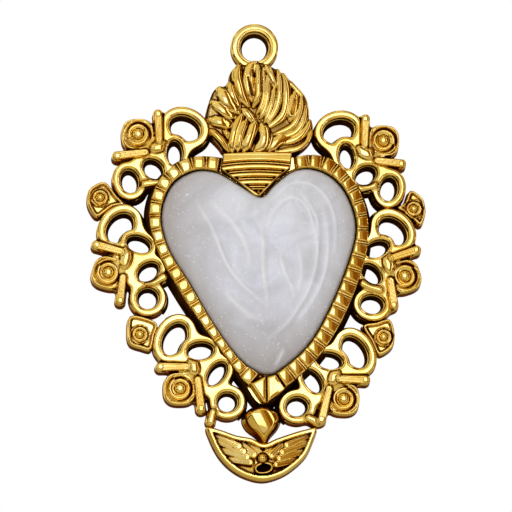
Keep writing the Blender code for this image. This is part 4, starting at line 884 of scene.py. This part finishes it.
def rim_stations(first, last):
    """Beads and the ridges between them, evenly spaced from one point of the rim to another."""
    inner, outer = (smooth_line(points, STATION_STEPS, True) for points in (HEART_POINTS, CUP_POINTS))
    line = []
    for point in inner:
        nearest = min(outer, key=lambda other: np.hypot(*(other - point)))
        middle = (1 - BEAD_MIDDLE) * point + BEAD_MIDDLE * nearest
        line.append((*middle, BEAD_WIDTH * np.hypot(*(nearest - point))))
    k, end = (min(range(len(line)), key=lambda k: math.dist(line[k][:2], place)) for place in (first, last))
    step = 1 if first[0] > 0 else -1
    run = [line[k]]
    while k != end:
        k = (k + step) % len(line)
        run.append(line[k])
    run = np.array(run)
    lengths = np.concatenate([[0.0], np.cumsum(np.hypot(*np.diff(run[:, :2], axis=0).T))])
    count = round(lengths[-1] / BEAD_PITCH)
    stops = np.linspace(0, lengths[-1], 2 * count + 1)
    x, z, width = (np.interp(stops, lengths, run[:, i]) for i in range(3))
    spots = np.minimum(np.searchsorted(lengths, stops, side="right"), len(run) - 1)
    headings = [math.atan2(*(run[k][:2] - run[k - 1][:2])[::-1]) for k in spots]
    return zip(x, z, headings, width)


def make_rim():
    """Row of square beads with flat tilted tops and thin ridges between them, on the cup's wall."""
    X, Z = board(CUP_POINTS, MARGIN, RIM_GRID)
    outer, inner = loop_gap(CUP_LOOP, X, Z), loop_gap(HEART_LOOP, X, Z)
    crown = loop_gap(CROWN_EDGE, X, Z)
    gap = np.maximum.reduce([outer + RIM_INSET, RIM_INSET - inner, RIM_CROWN_GAP - crown])
    lip = np.abs(inner - LIP_PLACE) - LIP_STRAND[0]
    height = np.maximum(RIM_TOP - RIM_SINK, strand(lip, RIM_TOP + LIP_RISE, *LIP_STRAND))
    for first, last in BEAD_ROWS:
        for number, (x, z, heading, width) in enumerate(rim_stations(first, last)):
            near = (np.abs(X - x) < BEAD_REACH) & (np.abs(Z - z) < BEAD_REACH)
            c, s = math.cos(heading), math.sin(heading)
            u = np.abs((X[near] - x) * c + (Z[near] - z) * s)
            v = np.abs((Z[near] - z) * c - (X[near] - x) * s)
            if number % 2 == 0:
                deep = blend_min(BEAD_LENGTH / 2 - u, width / 2 - v, BEAD_CORNER)
                bevel = np.clip(deep / BEAD_BEVEL, 0, 1)
                rise = BEAD_HEIGHT - BEAD_DROP + BEAD_DROP * bevel + BEAD_FALL * np.minimum(deep, 0)
                tilt = BEAD_TILT + BEAD_TURN * x
                rise = rise - bevel * tilt * (X[near] - x) - BEAD_DOME * (u ** 2 + v ** 2)
            else:
                rise = RIB_HEIGHT + RIB_FALL * np.minimum(np.minimum(RIB_HALF - u, width / 2 - v), 0)
            height[near] = np.maximum(height[near], RIM_TOP + rise)
    for corners in KEYSTONES:
        stone = loop_gap(corners, X, Z)
        bevel = np.clip(-stone / KEY_BEVEL, 0, 1)
        top = RIM_TOP + BEAD_HEIGHT - KEY_DROP + KEY_DROP * bevel - KEY_TILT * X * bevel
        height = np.maximum(height, top - BEAD_FALL * np.clip(stone, 0, 1))
    make_piece("beaded_rim", X, Z, gap, soften(height), RIM_BACK,
               draft=RIM_DRAFT, holes=inner, snug=outer + RIM_SNUG)


def make_cup():
    """Heart-shaped cup: its wall, which flares to the back, and its floor, both dark brown with painted
    shade.
    """
    X, Z = board(CUP_POINTS, CUP_MARGIN, CUP_GRID)
    gap = loop_gap(CUP_LOOP, X, Z) + CUP_INSET
    height = np.where(loop_gap(HEART_LOOP, X, Z) > CUP_INNER_EDGE, CUP_HEIGHT, CUP_FLOOR)
    make_piece("bezel_cup", X, Z, gap, height, materials=(recess, recess, satin_and_shade_gold),
               draft=CUP_FLARE, holes=gap)


def make_crown():
    """V band of bowed ribs with double grooves between them, and a strand along both sides."""
    X, Z = board(CROWN_EDGE, MARGIN, FINE_GRID)
    gap = loop_gap(CROWN_EDGE, X, Z)
    bowed = Z + CROWN_BOW * (X - CROWN_MIDDLE) ** 2
    away = np.minimum.reduce([np.abs(bowed - line) for line in CROWN_GROOVES])
    rib = CROWN_RIB_RISE * (1 - (1 - np.clip(away / CROWN_RIB, 0, 1)) ** 2)
    height = RIM_TOP + CROWN_RISE + rib - groove(away, *CROWN_TWIN_GROOVE) - groove(away, *CROWN_GROOVE)
    slope = CROWN_SLOPE * np.clip(Z - CROWN_SLOPE_START, 0, SLOPE_LENGTH)
    height = height - slope - groove(Z, *CROWN_HEM)
    for line in CROWN_SIDES:
        side = line_gap(line, X, Z)[0] - CROWN_STRAND[0]
        height = np.maximum(height, strand(side, RIM_TOP + CROWN_SIDE_RISE, *CROWN_STRAND))
    height = np.minimum(height, dome(gap, RIM_TOP + CROWN_TOP, *CROWN_EDGE_SHAPE))
    make_piece("crown_band", X, Z, gap, soften(height, CROWN_CELLS), RIM_BACK, draft=RIM_DRAFT)


def make_flame():
    """Flame of overlapping tufts with sharp grooves between them."""
    X, Z = board(FLAME_POINTS, FLAME_MARGIN)
    outline = loop_gap(smooth_line(FLAME_POINTS, closed=True), X, Z)
    height = FLAME_SLAB + FLAME_BED - roll(outline, *FLAME_ROLL)
    gap = outline + FLAME_INSET
    for points, half, rise in TUFTS:
        away, share = line_gap(smooth_line(points), X, Z)
        tip = np.clip(TIP_TAPER[0] + TIP_TAPER[1] * share, 0, 1)
        root = np.clip(ROOT_TAPER[0] + ROOT_TAPER[1] * (1 - share), 0, 1)
        width = TUFT_SWELL * half * tip * root
        top = FLAME_SLAB + TUFT_LIFT + rise * (1 - TUFT_ARCH * (2 * share - TUFT_CREST) ** 2)
        height = np.maximum(height, strand(away - width, top, width, *TUFT_PROFILE))
        gap = blend_min(gap, away - width, TUFT_MELT)
    for start, end, half in LENSES:
        lens, _ = bar_gap(start, end, half * LENS_TAPER, half, X, Z)
        height = height - LENS_DEPTH * np.clip(-lens / half, 0, 1) ** 0.5
    gap = np.maximum.reduce([gap, outline - FLAME_OVERHANG, Z - FLAME_TOP, SEAM - loop_gap(CROWN_EDGE, X, Z)])
    for name in ("scroll_left_1", "scroll_right_1"):
        gap = np.maximum(gap, SEAM + LOOP_STRAND - oval_gap(UNITS[name]["curl"], X, Z))
    # Painted shade on the flame's low parts, between and under its tufts
    stain = np.clip((FLAME_SLAB + PAINTED_SHADE_HEIGHT - height) / PAINTED_SHADE_SPAN, 0, 1)
    height = soften(height - FLAME_TILT * X)
    make_piece("flame_crest", X, Z, gap, height, RAISED_BACK, stain=stain)


def make_eye():
    """Hanging eye: a flat strip with rounded edges round its hole."""
    reach = EYE_OUTER_RADIUS
    X, Z = board([(-reach, -reach), (reach, reach)], MARGIN)
    away = np.hypot(X - EYE_MIDDLE[0], Z - EYE_MIDDLE[1])
    hole = away - EYE_HOLE_RADIUS
    gap = np.maximum(away - EYE_OUTER_RADIUS, -hole)
    height = soften(strand(gap, EYE_TOP, *EYE_STRAND) - groove(hole, *EYE_GROOVE))
    make_piece("bail_ring", X, Z, gap, height, RAISED_BACK, draft=EYE_DRAFT, holes=hole)


def make_bud():
    """Tulip-shaped bud, whose left, right and upper faces fall away from its ridge."""
    X, Z = board(BUD_POINTS, MARGIN, FINE_GRID)
    gap = loop_gap(smooth_line(BUD_POINTS, closed=True), X, Z)
    (x, z), (end_x, end_z) = BUD_RIDGE
    across = ((X - x) * (z - end_z) + (Z - z) * (end_x - x)) / math.hypot(end_x - x, end_z - z)
    upper = np.clip(Z - z - BUD_SLANT * (X - x), 0, 2)
    height = BUD_TOP - np.maximum(-BUD_LEFT_FALL * across, BUD_RIGHT_FALL * across ** 3)
    height = height - BUD_UPPER_FALL * upper ** 2 - BUD_BOW * (Z - BUD_WAIST) ** 2 - roll(gap, *BUD_ROLL)
    make_piece("bud_drop", X, Z, gap, soften(height, BUD_CELLS), RAISED_BACK)


def make_plaque():
    """Shield with a raised rim, spread feathers, a small head and the hollow under it."""
    X, Z = board(PLAQUE_POINTS, WIDE_MARGIN, SMALL_GRID)
    gap = loop_gap(smooth_line(PLAQUE_POINTS, closed=True), X, Z) + PLAQUE_INSET
    level = PLAQUE_LEVEL
    swell = level + PLAQUE_SWELL * np.clip(-gap - PLAQUE_SWELL_START, 0, 1)
    height = np.where(gap > -PLAQUE_RIM, dome(gap, level + PLAQUE_RIM_RISE, *PLAQUE_RIM_SHAPE), swell)
    for tip, root, half in FEATHERS:
        feather, share = bar_gap(tip, root, half * FEATHER_TAPER[0], half * FEATHER_TAPER[1], X, Z)
        middle, _ = bar_gap(tip, root, 0.0, 0.0, X, Z)
        top = strand(feather, level + FEATHER_LIFT + FEATHER_RISE * share, half, *FEATHER_PROFILE)
        height = np.maximum(height, top - groove(middle, *FEATHER_GROOVE))
    ball = np.hypot(X - HEAD[0], Z - HEAD[1])
    head = level + HEAD_LIFT + HEAD_RISE * np.sqrt(np.clip(1 - (ball / HEAD_RADIUS) ** 2, 0, 1))
    height = np.where(ball < HEAD_RADIUS, head, height - groove(ball, *HEAD_GROOVE))
    hollow = oval_gap(HOLLOW, X, Z)
    lip = np.abs(hollow - HOLLOW_LIP) - HOLLOW_LIP
    height = np.maximum(height, strand(lip, level + HOLLOW_LIP_RISE, HOLLOW_LIP, *HOLLOW_LIP_PROFILE))
    height = np.where(hollow < 0, level - HOLLOW_DEPTH + HOLLOW_SLOPE * (Z - HOLLOW[1]), height)
    # Painted shade in the hollow under the head
    stain = np.where(hollow < HOLLOW_PAINTED_SHADE, 1.0, 0.0)
    make_piece("wing_plaque", X, Z, gap, soften(height), stain=stain)


def make_stone():
    """Pearl heart: a broad dome with full edges and ridges drawn into it."""
    X, Z = board(HEART_POINTS, MARGIN, STONE_GRID)
    gap = loop_gap(HEART_LOOP, X, Z) + STONE_INSET
    full = 1 - (X / STONE_HALVES[0]) ** 2 - ((Z - STONE_MIDDLE) / STONE_HALVES[1]) ** 2
    broad = STONE_BACK + STONE_RISE * np.sqrt(np.clip(full, LEAST_DOME, 1))
    shoulder = STONE_SHOULDER * np.clip(1 + soften(gap, SHOULDER_CELLS) / SHOULDER_REACH, 0, 1) ** 3
    height = broad - shoulder - roll(gap, *STONE_ROLL)
    vein = np.zeros(X.shape)
    for points, half, rise in SWIRLS:
        away, share = line_gap(smooth_line(points), X, Z)
        fade = np.sin(np.clip(share, 0.02, 0.98) * math.pi) ** 0.5
        height = height + VEIN_RISE * rise * fade * ridge(away, half)
        vein = np.maximum(vein, VEIN_STRENGTH * fade * ridge(away, half * VEIN_WIDTH))
    # Painted shade on the pearl: the shoulder by its edge, then darker to the left, towards the foot and to
    # the right
    pearl_shade = shoulder
    for way, place, (start, length, share) in ((-1, X, SHADE_LEFT), (-1, Z, SHADE_FOOT), (1, X, SHADE_RIGHT)):
        pearl_shade = pearl_shade + share * np.clip(way * (place - start) / length, 0, 1)
    piece = make_piece("heart_cabochon", X, Z, gap, height, STONE_BACK,
                       suffix="_pearl", materials=(pearl(),), slot="pearl", draft=0.0)
    places = np.zeros(len(piece.data.vertices) * 3, np.float32)
    piece.data.vertices.foreach_get("co", places)
    places = places.reshape(-1, 3) / MM
    keep(piece, "vein", picked(vein, X, Z, places[:, 0], places[:, 2]))
    keep(piece, "pearl_shade", picked(np.clip(pearl_shade, 0, 1), X, Z, places[:, 0], places[:, 2]))


for unit_name in UNITS:
    make_unit(unit_name)
for link_name in LINKS:
    make_link(link_name)
make_cup()
make_rim()
make_crown()
make_flame()
make_eye()
make_bud()
make_plaque()
make_stone()

bed_glue = glue()
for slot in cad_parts["adhesive_bed"].material_slots:
    slot.material = bed_glue

# Stage, lights and camera

FLOOR_REACH, FLOOR_LEVEL = 1.5, -0.17
CARD_STEP, RING_CARDS = 6, 8
floor_mesh = bpy.data.meshes.new("floor")
floor_corners = [(x * FLOOR_REACH, y * FLOOR_REACH, 0) for x, y in ((-1, -1), (1, -1), (1, 1), (-1, 1))]
floor_mesh.from_pydata(floor_corners, [], [(0, 1, 2, 3)])
floor = add_object("floor", floor_mesh)
floor.location = (0, 0, FLOOR_LEVEL)
floor_material, floor_tree, floor_shader = new_material("pale_floor")
finish(floor_tree, floor_shader, {"Base Color": COLOURS["floor"], "Roughness": 0.9})
floor_mesh.materials.append(floor_material)

world = bpy.data.worlds.new("studio")
world.use_nodes = True
bpy.context.scene.world = world
tree = world.node_tree
rays = tree.nodes.new("ShaderNodeLightPath")
seen = combine(tree, combine(tree, rays.outputs["Is Camera Ray"], rays.outputs["Is Glossy Ray"]),
               rays.outputs["Is Transmission Ray"])
link(tree, blend(tree, seen, COLOURS["dim"], COLOURS["white"]), tree.nodes["Background"].inputs["Color"])

# Name, place, size, power and whether polished surfaces mirror the lamp
MIDDLE = (0.0, 0.0, -0.027)
LAMPS = (
    ("key", (-0.17, -0.42, 0.10), (0.26, 0.20), 1.1, False),
    ("fill", (0.24, -0.40, -0.04), (0.07, 0.20), 0.2, False),
    ("top", (0.06, -0.16, 0.38), (0.26, 0.07), 0.35, False),
    ("spark", (-0.13, -0.42, 0.16), (0.012, 0.012), 0.035, True))
for lamp_name, lamp_place, (long_side, short_side), power, mirrored in LAMPS:
    lamp = bpy.data.lights.new(lamp_name, "AREA")
    lamp.shape = "RECTANGLE"
    lamp.size = long_side
    lamp.size_y = short_side
    lamp.energy = power
    holder = add_object(lamp_name, lamp)
    holder.location = lamp_place
    holder.rotation_euler = (Vector(MIDDLE) - Vector(lamp_place)).to_track_quat("-Z", "Y").to_euler()
    holder.visible_glossy = mirrored


def card(name, across, upward, colour, distance, around=False):
    """Glowing card that only polished surfaces see, by degrees sideways and up from the front.

    One that stands around has its place on the ring, and its degrees away from the front.
    """
    columns, rows = (max(1, round(abs(high - low) / CARD_STEP)) for low, high in (across, upward))
    corners = []
    for k in range(rows + 1):
        for n in range(columns + 1):
            first = math.radians(across[0] + (across[1] - across[0]) * n / columns)
            second = math.radians(upward[0] + (upward[1] - upward[0]) * k / rows)
            if around:
                radius, depth = math.sin(second), math.cos(second)
                way = (radius * math.cos(first), -depth, radius * math.sin(first))
            else:
                radius, height = math.cos(second), math.sin(second)
                way = (math.sin(first) * radius, -math.cos(first) * radius, height)
            corners.append([middle + distance * part for middle, part in zip(MIDDLE, way)])
    wide = columns + 1
    faces = [(k * wide + n, k * wide + n + 1, (k + 1) * wide + n + 1, (k + 1) * wide + n)
             for k in range(rows) for n in range(columns)]
    mesh = bpy.data.meshes.new(name)
    mesh.from_pydata(corners, [], faces)
    material, tree, shader = new_material(name)
    glow = max(colour)
    finish(tree, shader, {
        "Base Color": COLOURS["black"], "Specular IOR Level": 0.0,
        "Emission Color": (*(part / glow for part in colour), 1.0), "Emission Strength": glow})
    mesh.materials.append(material)
    holder = add_object(name, mesh)
    holder.visible_camera = holder.visible_diffuse = holder.visible_shadow = False
    holder.visible_transmission = False


# What the polished gold mirrors: a bright window ahead and slightly up inside a dimmer one, another to the
# left, then gold, shade, a bluish strip and shade again to the right, shade below and a dark ring all round
CARDS = (
    ("window", (-5, 9), (-2, 16), (3.4, 3.8, 6.8), 0.44),
    ("window_rim", (-15, 11), (-10, 24), (0.82, 0.9, 1.5), 0.45),
    ("window_left", (-46, -15), (4, 36), (0.9, 0.95, 1.3), 0.45),
    ("right_gold", (11, 18), (-30, 45), (0.54, 0.37, 0.12), 0.45),
    ("right_shade", (18, 30), (-30, 45), (0.28, 0.12, 0.015), 0.45),
    ("right_strip", (30, 37), (-25, 40), (2.3, 2.5, 3.6), 0.45),
    ("right_far", (37, 62), (-40, 50), (0.20, 0.08, 0.012), 0.45),
    ("low_shade", (-50, 11), (-50, -13), (0.20, 0.08, 0.01), 0.48))
for card_values in CARDS:
    card(*card_values)
for number in range(RING_CARDS):
    start = number * 360 // RING_CARDS
    card(f"ring_{number}", (start + 4, start + 38), (62, 108), (0.09, 0.03, 0.004), 0.5, around=True)

# The photograph's view: a little from below and from the left, with a slight roll
AZIMUTH, ELEVATION, ROLL = math.radians(-2.5), math.radians(-8.5), math.radians(-0.96)
DISTANCE = 0.42
PIXEL = 0.00013
PICTURE = 512
SENSOR = 36.0
TARGET = Vector((0.0, -0.0005, -0.027))
TARGET_PIXEL = (258.6, 251.6)
back = Vector((
    math.sin(AZIMUTH) * math.cos(ELEVATION), -math.cos(AZIMUTH) * math.cos(ELEVATION), math.sin(ELEVATION)))
right = (-back).cross(Vector((0, 0, 1))).normalized()
up = right.cross(-back)
tilted_right = math.cos(ROLL) * right + math.sin(ROLL) * up
tilted_up = -math.sin(ROLL) * right + math.cos(ROLL) * up
lens = bpy.data.cameras.new("camera")
lens.sensor_width = SENSOR
lens.lens = SENSOR * (DISTANCE / PIXEL) / PICTURE
lens.clip_start = 0.01
lens.clip_end = 10.0
camera = add_object("camera", lens)
sideways = (PICTURE / 2 - TARGET_PIXEL[0]) * PIXEL / DISTANCE
upward = (TARGET_PIXEL[1] - PICTURE / 2) * PIXEL / DISTANCE
place = TARGET + DISTANCE * back
# The camera turns so that the target lands on its pixel with no shift
look = (-back + sideways * tilted_right + upward * tilted_up).normalized()
new_right = (tilted_right - tilted_right.dot(look) * look).normalized()
new_up = new_right.cross(look)
camera.matrix_world = Matrix((
    (new_right.x, new_up.x, -look.x, place.x), (new_right.y, new_up.y, -look.y, place.y),
    (new_right.z, new_up.z, -look.z, place.z), (0, 0, 0, 1)))
bpy.context.scene.camera = camera
bpy.context.scene.view_settings.view_transform = "Standard"
